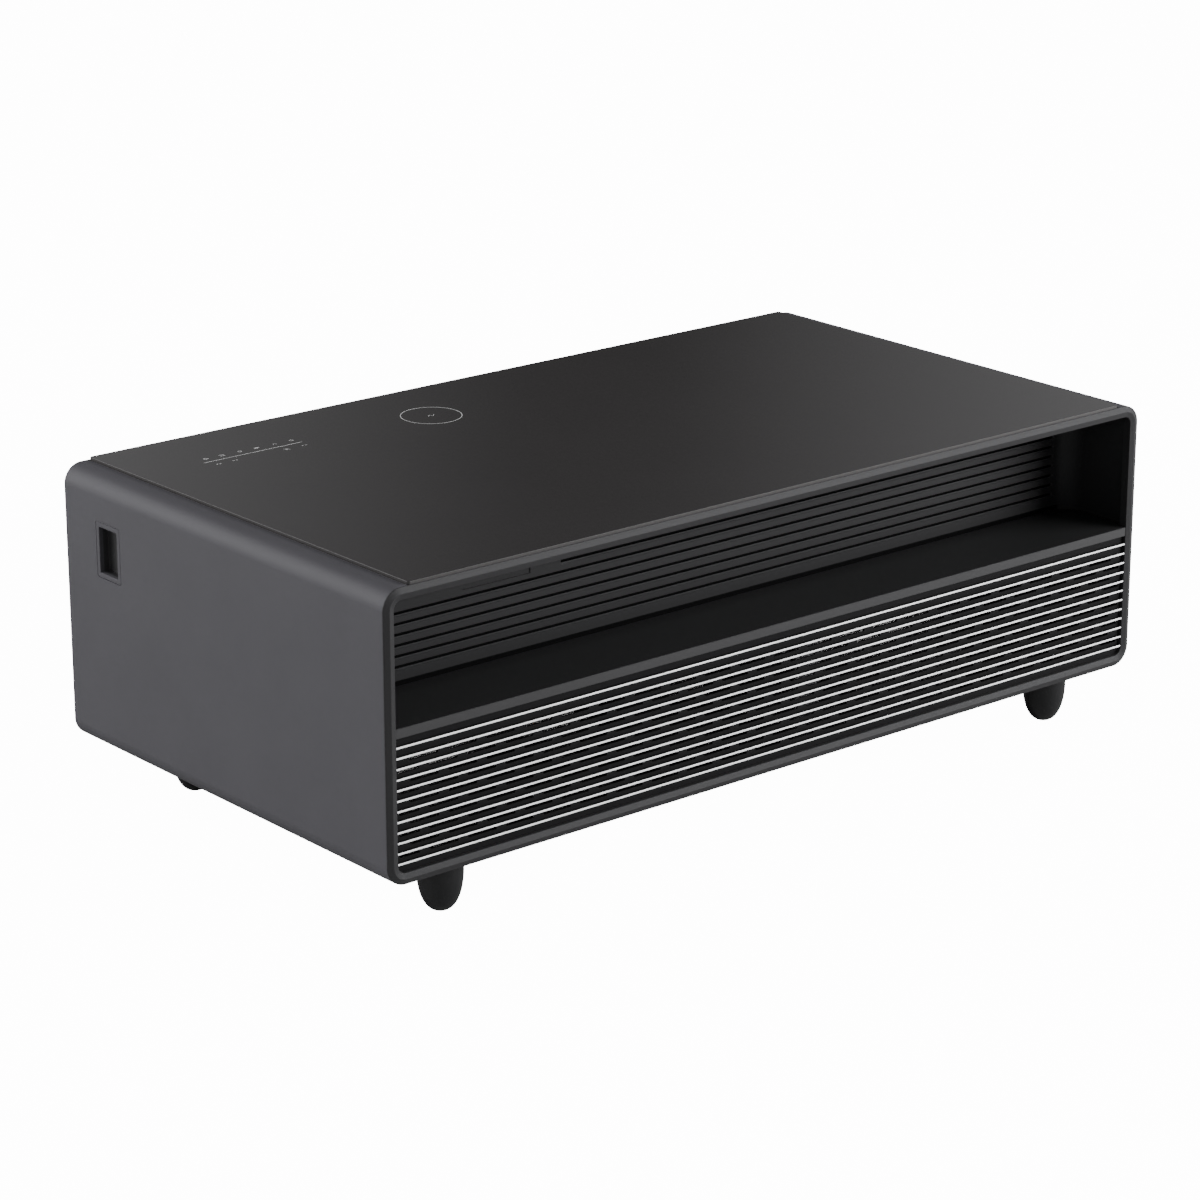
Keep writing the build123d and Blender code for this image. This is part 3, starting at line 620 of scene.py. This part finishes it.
glass_finish = printed_glass("printed_glass", (0.044, 0.042, 0.042), 0.15)
pane = bar(rectangle(-glass_half_x, glass_half_x, -glass_half_y, glass_half_y, glass_corner),
           glass_bottom, glass_face, lower_edge, "Z", upper_edge)
piece("tabletop_glass", pane, "table", glass_finish, ["glass_top"])

mark_bottom, mark_top = glass_face - 0.02, glass_face + 0.05
mark_finish = Finish("fired_marks", (0.62, 0.62, 0.62), 0.5)
fade = mark_finish.noise(scale=700.0)
mark_finish.give("Base Color", mark_finish.mix(fade, (0.5, 0.5, 0.5, 1.0), (0.75, 0.75, 0.75, 1.0)))
mark_finish.relief(fade, distance=0.000005)


def stroke(points, width, closed=False):
    """A thin flat line on the glass through points in X and Y."""
    path = [Vector(p) for p in points]
    left, right = [], []
    count = len(path)
    for k, here in enumerate(path):
        back = path[k - 1] if k or closed else here
        ahead = path[(k + 1) % count] if k < count - 1 or closed else here
        run = (ahead - back).normalized()
        across = Vector((-run.y, run.x)) * width / 2
        left.append(here + across)
        right.append(here - across)
    loops = [[(one.x, one.y, mark_top), (other.x, other.y, mark_top),
              (other.x, other.y, mark_bottom), (one.x, one.y, mark_bottom)]
             for one, other in zip(left, right)]
    return skin(loops, wrapped=closed)


def circle(x, y, radius, steps=96, start=0.0, sweep=360.0):
    """Points round a circle, or along a part of it, in degrees."""
    return [(x + radius * math.cos(math.radians(start + sweep * k / steps)),
             y + radius * math.sin(math.radians(start + sweep * k / steps)))
            for k in range(steps + (sweep < 360.0))]


charge_x, charge_y, charge_radius = -145.0, 217.0, 42.0
charging_ring = joined([
    stroke(circle(charge_x, charge_y, charge_radius), 0.9, closed=True),
    stroke([(charge_x - 6, charge_y - 2), (charge_x - 1, charge_y + 3), (charge_x + 1, charge_y - 3),
            (charge_x + 6, charge_y + 2)], 1.0)])
piece("charging_ring_mark", charging_ring, "table", mark_finish)

touch_start, touch_end, touch_y = -513.0, -356.0, 223.5
touch_line = stroke([(touch_start, touch_y), (touch_end, touch_y)], 1.0)
piece("touch_line_mark", touch_line, "table", mark_finish)


def small_mark(kind, x, y):
    """A generic control mark: a ring, a dash pair, a dot in a ring, a bar or a chevron."""
    if kind == "ring":
        return [stroke(circle(x, y, 2.6, 24), 0.8, closed=True)]
    if kind == "power":
        return [stroke(circle(x, y, 2.8, 20, 120, 300), 0.8), stroke([(x, y), (x, y + 3.2)], 0.8)]
    if kind == "bars":
        return [stroke([(x - 4, y + k * 2.0), (x + 4, y + k * 2.0)], 0.7) for k in (-1, 1)]
    if kind == "chevron":
        return [stroke([(x - 3, y - 2), (x, y + 2), (x + 3, y - 2)], 0.8)]
    if kind == "solid":
        return [stroke([(x - 3.5, y), (x + 3.5, y)], 3.2)]
    return [stroke([(x - 4, y), (x - 1, y)], 1.1), stroke([(x + 1, y), (x + 4, y)], 1.1)]


upper_row, lower_row = 238.0, 208.0
upper_marks = (("power", -500.0), ("bars", -474.5), ("ring", -446.0), ("solid", -419.5),
               ("chevron", -391.0), ("ring", -363.0))
lower_marks = (("dashes", -500.0), ("dashes", -474.0), ("bars", -392.0), ("dashes", -363.0))
mark_parts = [part for kind, x in upper_marks for part in small_mark(kind, x, upper_row)]
mark_parts += [part for kind, x in lower_marks for part in small_mark(kind, x, lower_row)]
piece("touch_marks", joined(mark_parts), "table", mark_finish)

# Touch board and charging coil
# Both lie in pockets under the glass: a green board with square sensing pads, and a flat copper
# coil on its plate. The control board is finished like the touch board.


def circuit(name):
    """A green board with lighter copper tracks under the lacquer."""
    colour = (0.010, 0.075, 0.030)
    finish = Finish(name, colour, 0.35, coat_weight=0.3)
    x, y, _ = finish.axes()
    tracks = ((x * 2600.0).sine() * (y * 1700.0).sine()).size() < 0.18
    broken = finish.noise(scale=90.0, detail=1.0) > 0.5
    finish.give("Base Color", finish.mix(tracks * broken, shade(colour, 1.0), (0.04, 0.19, 0.07, 1.0)))
    finish.relief(tracks * broken, distance=0.00003)
    return finish


def wound_copper(name):
    """Lacquered copper: fine lines where the turns lie side by side, some darker than others."""
    colour = (0.55, 0.24, 0.12)
    finish = Finish(name, colour, 0.3, metallic=1.0)
    change = finish.noise(scale=160.0)
    finish.tint(change, colour, darkest=0.7, lightest=1.15)
    finish.give("Roughness", change * 0.15 + 0.22)
    finish.relief(finish.noise(scale=900.0, detail=1.0), distance=0.00002)
    return finish


circuit_finish = circuit("circuit_board")
copper_finish = wound_copper("drawn_copper")
show(["touch_board", "control_board"], circuit_finish)
show(["charger_coil"], copper_finish)

# Shelf board
# A 13 mm board whose front rail reaches forward between the frame's side members. Black laminate
# covers it all round, and a painted band lies along the rail's front.
shelf_top, shelf_bottom = 273.4, 260.4
rail_front, rail_back, shelf_back = -347.2, -335.4, -85.0
rail_half, shelf_half = 634.2, 645.6
board_edge, band_proud, band_depth = 0.8, 0.04, 0.6
shelf_outline = [Vector(p) for p in (
    (-rail_half, rail_front), (rail_half, rail_front), (rail_half, rail_back), (shelf_half, rail_back),
    (shelf_half, shelf_back), (-shelf_half, shelf_back), (-shelf_half, rail_back), (-rail_half, rail_back))]
shelf_finish = laminated("shelf_laminate", (0.0155, 0.0155, 0.0160), 0.5, (2.0, 90.0, 90.0))
piece("shelf_floor", bar(shelf_outline, shelf_bottom, shelf_top, board_edge), "table",
      shelf_finish, ["shelf_board"])
band_finish = coated("rail_edge_band", (0.031, 0.031, 0.032), 0.45)
band_face = rectangle(-rail_half, rail_half, shelf_bottom + board_edge, shelf_top - board_edge)
band = bar(band_face, rail_front - band_proud, rail_front + band_depth, axis="Y")
piece("shelf_edge_band", band, "table", band_finish)

# Liner of the open shelf
# One satin moulding forms the shelf's sides, its round back corners and its grooved back, with a
# kick recess along the floor. Each groove has a shallow step below it, and runs out at its ends; the
# topmost is shorter, and leaves room for a flat recess.
# Its colour carries painted shade: darker towards the floor, and near black inside the grooves.
liner_half, liner_back = 645.6, -219.5
niche_half, niche_back, niche_radius = 641.0, -228.5, 30.0
liner_front, liner_ceiling = -335.4, 436.9
wrap_gap, thinnest_wall = 0.3, 0.4
kick_top, kick_back, kick_side, kick_rise, kick_bend = 281.4, 4.0, 2.5, 0.1, 0.4
lip, lip_start, lip_end = 1.6, 2.0, 3.0
groove_end, run_out = 610.0, 4.0
lowest_groove, groove_pitch, groove_count = 299.0, 13.85, 7
groove_section = ((-3.8, 0.0), (-3.6, 0.2), (-3.3, 0.6), (-1.5, 0.8), (-1.3, 4.2), (-0.9, 4.5),
                  (2.0, 4.5), (2.3, 4.2), (2.4, 0.3), (2.7, 0.0))
short_start = -283.0
recess_left, recess_right, recess_low, recess_high = -440.0, -332.0, 377.4, 395.4
recess_depth, recess_slope, recess_margin = 1.2, 0.3, 0.2
column_pitch, columns_each_way = 118.0, 5
corner_turn, corner_flat, square_share, touching = 6, 0.3, 0.7, 0.01
floor_level, groove_shade_start = 0.268, 0.2272


def groove_share(x, topmost):
    """How much of a groove's depth is left at x: whole between its ends, which run out."""
    start = short_start if topmost else -groove_end
    return max(0.0, min(1.0, (x - start) / run_out, (groove_end - x) / run_out))


def groove_rows():
    """(height, depth, topmost) rows of the back wall from the kick to the ceiling."""
    rows = [(kick_top + kick_bend, 0.0, False)]
    for k in range(groove_count):
        middle = lowest_groove + k * groove_pitch
        rows += [(middle + rise, depth, k == groove_count - 1) for rise, depth in groove_section]
    for edge, step in ((recess_low, recess_slope), (recess_high, -recess_slope)):
        rows += [(edge, 0.0, True), (edge + step, 0.0, True)]
    rows.append((liner_ceiling, 0.0, False))
    return sorted(rows)


back_columns = sorted({-groove_end, run_out - groove_end, short_start, short_start + run_out,
                       recess_left, recess_left + recess_slope, recess_right - recess_slope,
                       recess_right, groove_end - run_out, groove_end,
                       *[column_pitch * k for k in range(-columns_each_way, columns_each_way + 1)]})


def recess_at(x, z):
    """The recess's depth at a point of the back wall."""
    across = recess_left + recess_margin < x < recess_right - recess_margin
    upright = recess_low + recess_margin < z < recess_high - recess_margin
    return recess_depth if across and upright else 0.0


def outer_half(z):
    """The liner's outer half width, which follows the wrap's bend near the top."""
    centre = shell_top - shell_radius
    reach = shell_radius - sheet_wall - wrap_gap
    if z <= centre:
        return liner_half
    return liner_half - reach + math.sqrt(max(reach ** 2 - (z - centre) ** 2, 0.0))


def liner_loop(z, depth, topmost, half, back):
    """One level of the liner's inside in plan, with a small lip at its front edges."""
    half = min(half, outer_half(z) - thinnest_wall)
    turns = [math.radians(turn) for turn in range(0, 91, corner_turn)]
    corner = [(math.cos(turn), math.sin(turn)) for turn in turns]
    radius = niche_radius
    inside = [(-half + lip, liner_front, z), (-half + lip, liner_front + lip_start, z),
              (-half, liner_front + lip_end, z)]
    inside += [(-half + radius - radius * c, back - radius + radius * s, z) for c, s in corner]
    for x in back_columns:
        if abs(x) < half - radius:
            share = groove_share(x, topmost) if depth else 0.0
            inside.append((x, back + max(depth * share, recess_at(x, z)), z))
        else:
            inside.append((math.copysign(half - radius, x), back, z))
    inside += [(half - radius + radius * c, back - radius + radius * s, z) for c, s in corner[::-1]]
    inside += [(half, liner_front + lip_end, z), (half - lip, liner_front + lip_start, z),
               (half - lip, liner_front, z)]
    return inside


def outside_of(point, half, back):
    """The point of the liner's outside behind a point of its inside."""
    x, y, z = point
    corner_start = half - niche_radius
    if abs(x) >= half - touching or y < back - niche_radius:
        return (math.copysign(outer_half(z), x), y, z)
    if y >= back - corner_flat or abs(x) <= corner_start:
        return (x, liner_back, z)
    share = (abs(x) - corner_start) / niche_radius
    reach = corner_start + share * (outer_half(z) - corner_start)
    forward = max(0.0, (share - square_share) / (1 - square_share))
    return (math.copysign(reach, x), liner_back - forward * (liner_back - y), z)


def liner():
    kick = (niche_half + kick_side, niche_back + kick_back)
    levels = [(shelf_top, 0.0, False, *kick), (kick_top - kick_rise, 0.0, False, *kick)]
    levels += [(z, depth, topmost, niche_half, niche_back) for z, depth, topmost in groove_rows()]
    loops = []
    for z, depth, topmost, half, back in levels:
        inside = liner_loop(z, depth, topmost, half, back)
        loops.append(inside + [outside_of(point, half, back) for point in inside[::-1]])
    return skin(loops)


def moulding_with_painted_shade(name, colour, roughness):
    """The liner's moulding with painted shade: dimmer towards the floor, and near black and duller inside
    the grooves.
    """
    finish = Finish(name, colour, roughness, specular_ior_level=0.22)
    _, along_y, height = finish.axes()
    # Painted shade: the colour darkens towards the floor and turns near black inside the grooves, where
    # shade falls.
    painted_light_by_height = ((height - floor_level) * 6.0).held() * 0.55 + 0.45
    painted_groove_shade = ((along_y + groove_shade_start) * 700.0).held()
    finish.give("Base Color", finish.mix(painted_light_by_height * (1 - painted_groove_shade * 0.95), (0.0, 0.0, 0.0, 1.0), (*colour, 1.0)))
    finish.give("Roughness", painted_groove_shade * 0.45 + roughness)
    finish.relief(finish.noise(scale=1100.0, detail=3.0), distance=0.00002)
    return finish


liner_finish = moulding_with_painted_shade("liner_moulding", (0.029, 0.029, 0.0300), 0.45)
piece("shelf_liner", liner(), "table", liner_finish, ["niche_liner"])

# Light channel
# A milky strip of moulded plastic that closes the light's slot in the shelf's ceiling. It is let
# into the deck above the shelf, and is unlit here.
diffuser_finish = moulded("milky_diffuser", (0.55, 0.55, 0.53), 0.4, 800.0)
show(["light_channel"], diffuser_finish)

# Grille
# A moulded plate closes the machine bay. Ten rows of short slots step by half a pitch, and twelve
# fins run the whole length, each with a bright anodised strip along its front edge; the strip's near
# white colour is partly painted sheen.
plate_front, plate_back = -343.0, -340.0
plate_half, plate_bottom, plate_top = 634.2, 87.3, 260.3
plate_radius = 11.2
fin_front, fin_height = -346.5, 3.2
first_fin, fin_pitch, fin_count = 99.4, 13.585, 12
strip_front, strip_crown, strip_height = -347.7, 0.45, 2.4
strip_end_edge, fin_root = 0.2, 0.01
slot_length, slot_pitch, slot_height, slot_rise, slot_radius = 43.5, 59.0, 3.4, 7.9, 1.2
slot_margin, slot_shortest, slots_each_way = 6.0, 12.0, 12
plate_edge = 0.3


def cut_plate(name, outlines, middle, thickness, edge):
    """An upright plate across Y, from its rim and the holes in it, with rounded edges."""
    curve = bpy.data.curves.new(name, "CURVE")
    curve.dimensions = "2D"
    curve.fill_mode = "BOTH"
    curve.extrude = thickness / 2 * MM - edge * MM
    curve.bevel_depth = edge * MM
    curve.bevel_resolution = 1
    curve.offset = -edge * MM
    for number, outline in enumerate(outlines):
        wanted = 1 if number == 0 else -1
        if turning(outline) * wanted < 0:
            outline = outline[::-1]
        spline = curve.splines.new("POLY")
        spline.points.add(len(outline) - 1)
        for point, p in zip(spline.points, outline):
            point.co = (p.x * MM, p.y * MM, 0.0, 1.0)
        spline.use_cyclic_u = True
    mesh = finished(in_scene(name, curve))
    for vertex in mesh.vertices:
        u, v, w = vertex.co
        vertex.co = (u, middle * MM + w, v)
    return tidied(mesh)


fin_heights = [first_fin + k * fin_pitch for k in range(fin_count)]


def slot_outlines():
    """The slots between the fins. Every other row is shifted by half a pitch."""
    outlines = []
    limit = plate_half - slot_margin
    for row in range(fin_count - 2):
        z = fin_heights[row] + slot_rise
        shift = slot_pitch / 2 if row % 2 == 0 else 0.0
        for k in range(-slots_each_way, slots_each_way):
            start = max(k * slot_pitch + shift - slot_length / 2, -limit)
            end = min(k * slot_pitch + shift + slot_length / 2, limit)
            if end - start > slot_shortest:
                outlines.append(rectangle(start, end, z - slot_height / 2, z + slot_height / 2,
                                          slot_radius))
    return outlines


def fin(z):
    """A plain fin along the plate at a height."""
    section = rectangle(fin_front, plate_front + fin_root, z - fin_height / 2, z + fin_height / 2)
    return bar(section, -plate_half, plate_half, axis="X")


def crowned_strip(z):
    """The strip on a fin's front edge. Its face is crowned."""
    crown = [Vector((fin_front, z + strip_height / 2)), Vector((fin_front, z - strip_height / 2))]
    crown += [Vector((strip_front + strip_crown * (2 * share) ** 2, z + share * strip_height))
              for share in (-0.5, -0.4, -0.25, -0.1, 0.1, 0.25, 0.4, 0.5)]
    return bar(crown, -plate_half, plate_half, strip_end_edge, "X")


plate_rim = eased([(-plate_half, plate_bottom, plate_radius), (plate_half, plate_bottom, plate_radius),
                   (plate_half, plate_top, 0.0), (-plate_half, plate_top, 0.0)])
plate_mesh = cut_plate("grille_plate", [plate_rim] + slot_outlines(), (plate_front + plate_back) / 2,
                       plate_back - plate_front, plate_edge)
grille_finish = moulded("grille_moulding", (0.0068, 0.0068, 0.0072), 0.55, specular_ior_level=0.15)
piece("grille_plate", plate_mesh, "table", grille_finish, ["grille_panel"])
piece("grille_fins", joined([fin(z) for z in fin_heights]), "table", grille_finish)


def brushed(name, colour, roughness, run, metal=1.0):
    """Anodised aluminium with long fine brush lines along its run."""
    finish = Finish(name, colour, roughness, metallic=metal)
    lines = finish.noise(scale=1500.0, stretch=run)
    finish.tint(lines, colour, darkest=0.86, lightest=1.06)
    finish.give("Roughness", lines * 0.12 + (roughness - 0.06))
    finish.relief(lines, distance=0.00001)
    return finish


# Painted sheen: the strip's near white, mostly diffuse colour stands partly for its bright metal and partly
# for the lamps' reflection in it.
strip_sheen_finish = brushed("bright_strip_painted_sheen", (1.0, 1.0, 1.0), 0.4, (0.02, 1.0, 1.0), metal=0.15)
piece("bright_strips", joined([crowned_strip(z) for z in fin_heights]), "table",
      strip_sheen_finish, ["grille_strips"])

# Machine bay
# Behind the grille: a black enamelled compressor on rubber blocks, an aluminium condenser with
# its fan, brazed copper lines, and the power supply in its folded case.
enamel_finish = coated("black_enamel", (0.012, 0.012, 0.013), 0.22, 500.0)
rolled_finish = brushed("rolled_aluminium", (0.72, 0.73, 0.75), 0.36, (1.0, 1.0, 0.03))
rubber_finish = moulded("soft_grey_rubber", (0.055, 0.055, 0.058), 0.7, 1700.0)
show(["compressor"], enamel_finish)
show(["compressor_rubbers"], rubber_finish)
show(["condenser", "power_supply"], rolled_finish)
show(["fan_frame", "fan_rotor"], inlet_finish)
show(["refrigerant_lines"], copper_finish)

# Fridge cabinet
# A foam-filled white body, lined with formed plastic, with a cavity for each drawer. A rolled
# aluminium cold plate is fixed in each.


def glossy_white(name, colour, roughness):
    """Vacuum-formed lining: a slow ripple under the gloss, and a trace of yellow in places."""
    finish = Finish(name, colour, roughness, coat_weight=0.2)
    ripple = finish.noise(scale=38.0)
    tone = finish.noise(scale=5.0)
    finish.give("Base Color", finish.mix(tone, shade(colour, 0.94), (0.86, 0.86, 0.84, 1.0)))
    finish.give("Roughness", ripple * 0.1 + (roughness - 0.05))
    finish.relief(ripple, distance=0.0001)
    return finish


white_finish = glossy_white("white_lining", (0.80, 0.81, 0.82), 0.28)
show(["fridge_cabinet"], white_finish)
show(["left_cold_plate", "right_cold_plate"], rolled_finish)

# Drawers
# Each front is a painted board with a finger channel behind its top edge, glued to an insulated
# core with a soft gasket. An open moulded bin with a divider rides on two three-part slides.
front_face, front_back = 346.5, 326.5
front_low, front_high = 90.0, 412.0
front_near, front_far = 1.5, 631.5
front_edge = 1.5
corner_radius = 8.5
pull_depth, pull_low = 13.0, 384.0
pull_radius, pull_margin, pull_overrun = 3.0, 6.0, 5.0


def clear_plastic(name):
    """Clear moulded plastic with a trace of blue, scuffed in places."""
    finish = Finish(name, (0.80, 0.86, 0.89), 0.12, transmission_weight=0.75, ior=1.49)
    scuffs = finish.noise(scale=120.0, detail=4.0)
    tone = finish.noise(scale=8.0)
    finish.give("Roughness", scuffs * 0.2 + 0.05)
    finish.give("Base Color", finish.mix(tone, (0.76, 0.83, 0.87, 1.0), (0.86, 0.90, 0.92, 1.0)))
    finish.relief(scuffs, distance=0.00002)
    return finish


def drawer_front(word, side):
    """A drawer's board, with the finger channel cut along the back of its top edge."""
    corners = [(front_near, front_low, 0.0), (front_far, front_low, corner_radius),
               (front_far, front_high, 0.0), (front_near, front_high, 0.0)]
    outline = eased([(side * x, z, radius) for x, z, radius in corners])
    board = bar(outline, front_back, front_face, 0.0, "Y", front_edge)
    section = rectangle(front_back - pull_margin, front_back + pull_depth, pull_low,
                        front_high + pull_margin, pull_radius)
    start, end = sorted((side * (half_length + pull_overrun), -side * pull_overrun))
    return carved(word + "_front", board, bar(section, start, end, axis="X"))


front_finish = coated("painted_board", satin_colour, 0.5, 700.0, 0.00004,
                      specular_ior_level=satin_shine)
bin_finish = clear_plastic("clear_bin_plastic")

for word, side in (("left", -1), ("right", 1)):
    piece(word + "_front_panel", drawer_front(word, side), word + "_drawer",
          front_finish, [word + "_drawer_front"])
    show([word + "_door_core"], white_finish)
    show([word + "_door_gasket"], rubber_finish)
    show([word + "_drawer_bin", word + "_bin_divider"], bin_finish)
    show([word + "_" + rail + "_rail_" + number for rail in ("outer", "middle", "inner")
          for number in ("1", "2")], steel_finish)

# Studio
# A plain pale floor that glows for the camera alone, soft lamps on both sides of the table, and
# dim pale walls for the reflections. The camera stands at the photograph's angle.
floor_half = 30.0
floor_glow = 14.0
floor_corners = [(-1, -1), (1, -1), (1, 1), (-1, 1)]
floor_mesh = bpy.data.meshes.new("floor")
floor_mesh.from_pydata([(x * floor_half, y * floor_half, 0.0) for x, y in floor_corners], [],
                       [(0, 1, 2, 3)])
floor_finish = Finish("pale_floor", (0.3, 0.3, 0.3), 0.9)
seen = floor_finish.node("ShaderNodeLightPath", {}, {}, "Is Camera Ray")
glow = floor_finish.node("ShaderNodeEmission", {}, {"Color": (1, 1, 1, 1), "Strength": floor_glow})
plain = Wire(floor_finish, floor_finish.shader.outputs["BSDF"])
both = floor_finish.node("ShaderNodeAddShader", {}, {0: plain, 1: glow})
surface = floor_finish.node("ShaderNodeMixShader", {}, {0: seen, 1: plain, 2: both})
floor_finish.feed(floor_finish.tree.nodes["Material Output"].inputs["Surface"], surface)
floor_mesh.materials.append(floor_finish.material)
floor = in_scene("floor", floor_mesh)

gap_turn = math.radians(39.8)
gap_half, screen_rise, screen_level = 0.022, 7.0, 0.36
screen_top, screen_fade = 0.52, 8.0
sky_fill, ground_fill = 0.3, 0.1
left_wall_level, right_wall_level = 2.2, 2.6
wall_foot, wall_fade, wall_side_fade = -0.02, 4.0, 10.0
world = bpy.data.worlds.new("studio")
bpy.context.scene.world = world
world.use_nodes = True
room = Nodes(world.node_tree)
direction = room.node("ShaderNodeTexCoord", {}, {}, "Generated")
toward = [room.node("ShaderNodeSeparateXYZ", {}, {"Vector": direction}, axis) for axis in "XYZ"]
# A low pale screen stands behind the table, with a dark gap in its middle.
flat = (toward[0] * toward[0] + toward[1] * toward[1]).root()
across = ((toward[0] * math.cos(gap_turn) - toward[1] * math.sin(gap_turn)) / flat).size()
behind = (toward[0] * math.sin(gap_turn) + toward[1] * math.cos(gap_turn)) > 0.0
low = ((screen_top - toward[2] / flat) * screen_fade).held() * (toward[2] > 0.0)
screen = ((across - gap_half) * screen_rise).held() * low * behind * screen_level
fill = (toward[2] > 0.0) * (1 - behind) * sky_fill + (toward[2] < 0.0) * ground_fill


def pale_wall(turn, half_turn, highest, level):
    """A broad dim wall for reflections, centred at a turn from the drawer side's direction."""
    turn, half_turn = math.radians(turn), math.radians(half_turn)
    facing = (toward[0] * math.sin(turn) + toward[1] * math.cos(turn)) / flat
    upright = ((highest - toward[2] / flat) * wall_fade).held() * (toward[2] > wall_foot)
    return ((facing - math.cos(half_turn)) * wall_side_fade).held() * upright * level


left_wall = pale_wall(turn=-38.0, half_turn=34.0, highest=1.1, level=left_wall_level)
right_wall = pale_wall(turn=135.0, half_turn=30.0, highest=0.8, level=right_wall_level)
background = world.node_tree.nodes["Background"]
room.feed(background.inputs["Color"], (0.98, 0.98, 1.0, 1.0))
room.feed(background.inputs["Strength"], screen + fill + (left_wall + right_wall))


def soft_light(name, place, target, width, height, power):
    """A large soft lamp in metres and watts. Its own shape is kept out of the reflections."""
    lamp = bpy.data.lights.new(name, "AREA")
    lamp.shape = "RECTANGLE"
    lamp.size = width
    lamp.size_y = height
    lamp.energy = power
    made = in_scene(name, lamp)
    made.location = place
    made.rotation_euler = (Vector(target) - Vector(place)).to_track_quat("-Z", "Y").to_euler()
    made.visible_glossy = False


soft_light("left_softbox", place=(-3.2, 3.4, 2.0), target=(-0.5, 0.0, 0.3), width=3.2, height=3.0,
           power=200.0)
soft_light("key_softbox", place=(3.2, -3.2, 1.4), target=(0.0, 0.0, 0.2), width=3.2, height=2.4,
           power=450.0)
soft_light("side_fill", place=(-4.6, -2.2, 1.3), target=(0.3, 0.0, 0.3), width=2.0, height=1.6,
           power=34.0)

camera_down, camera_heading = 18.310, -39.889
camera_data = bpy.data.cameras.new("camera")
camera_data.lens = 115.74
camera_data.sensor_width = 36
camera = in_scene("camera", camera_data)
camera.location = (-3.2118, -3.8100, 1.8624)
camera.rotation_euler = (math.radians(90 - camera_down), 0, math.radians(camera_heading))
bpy.context.scene.camera = camera
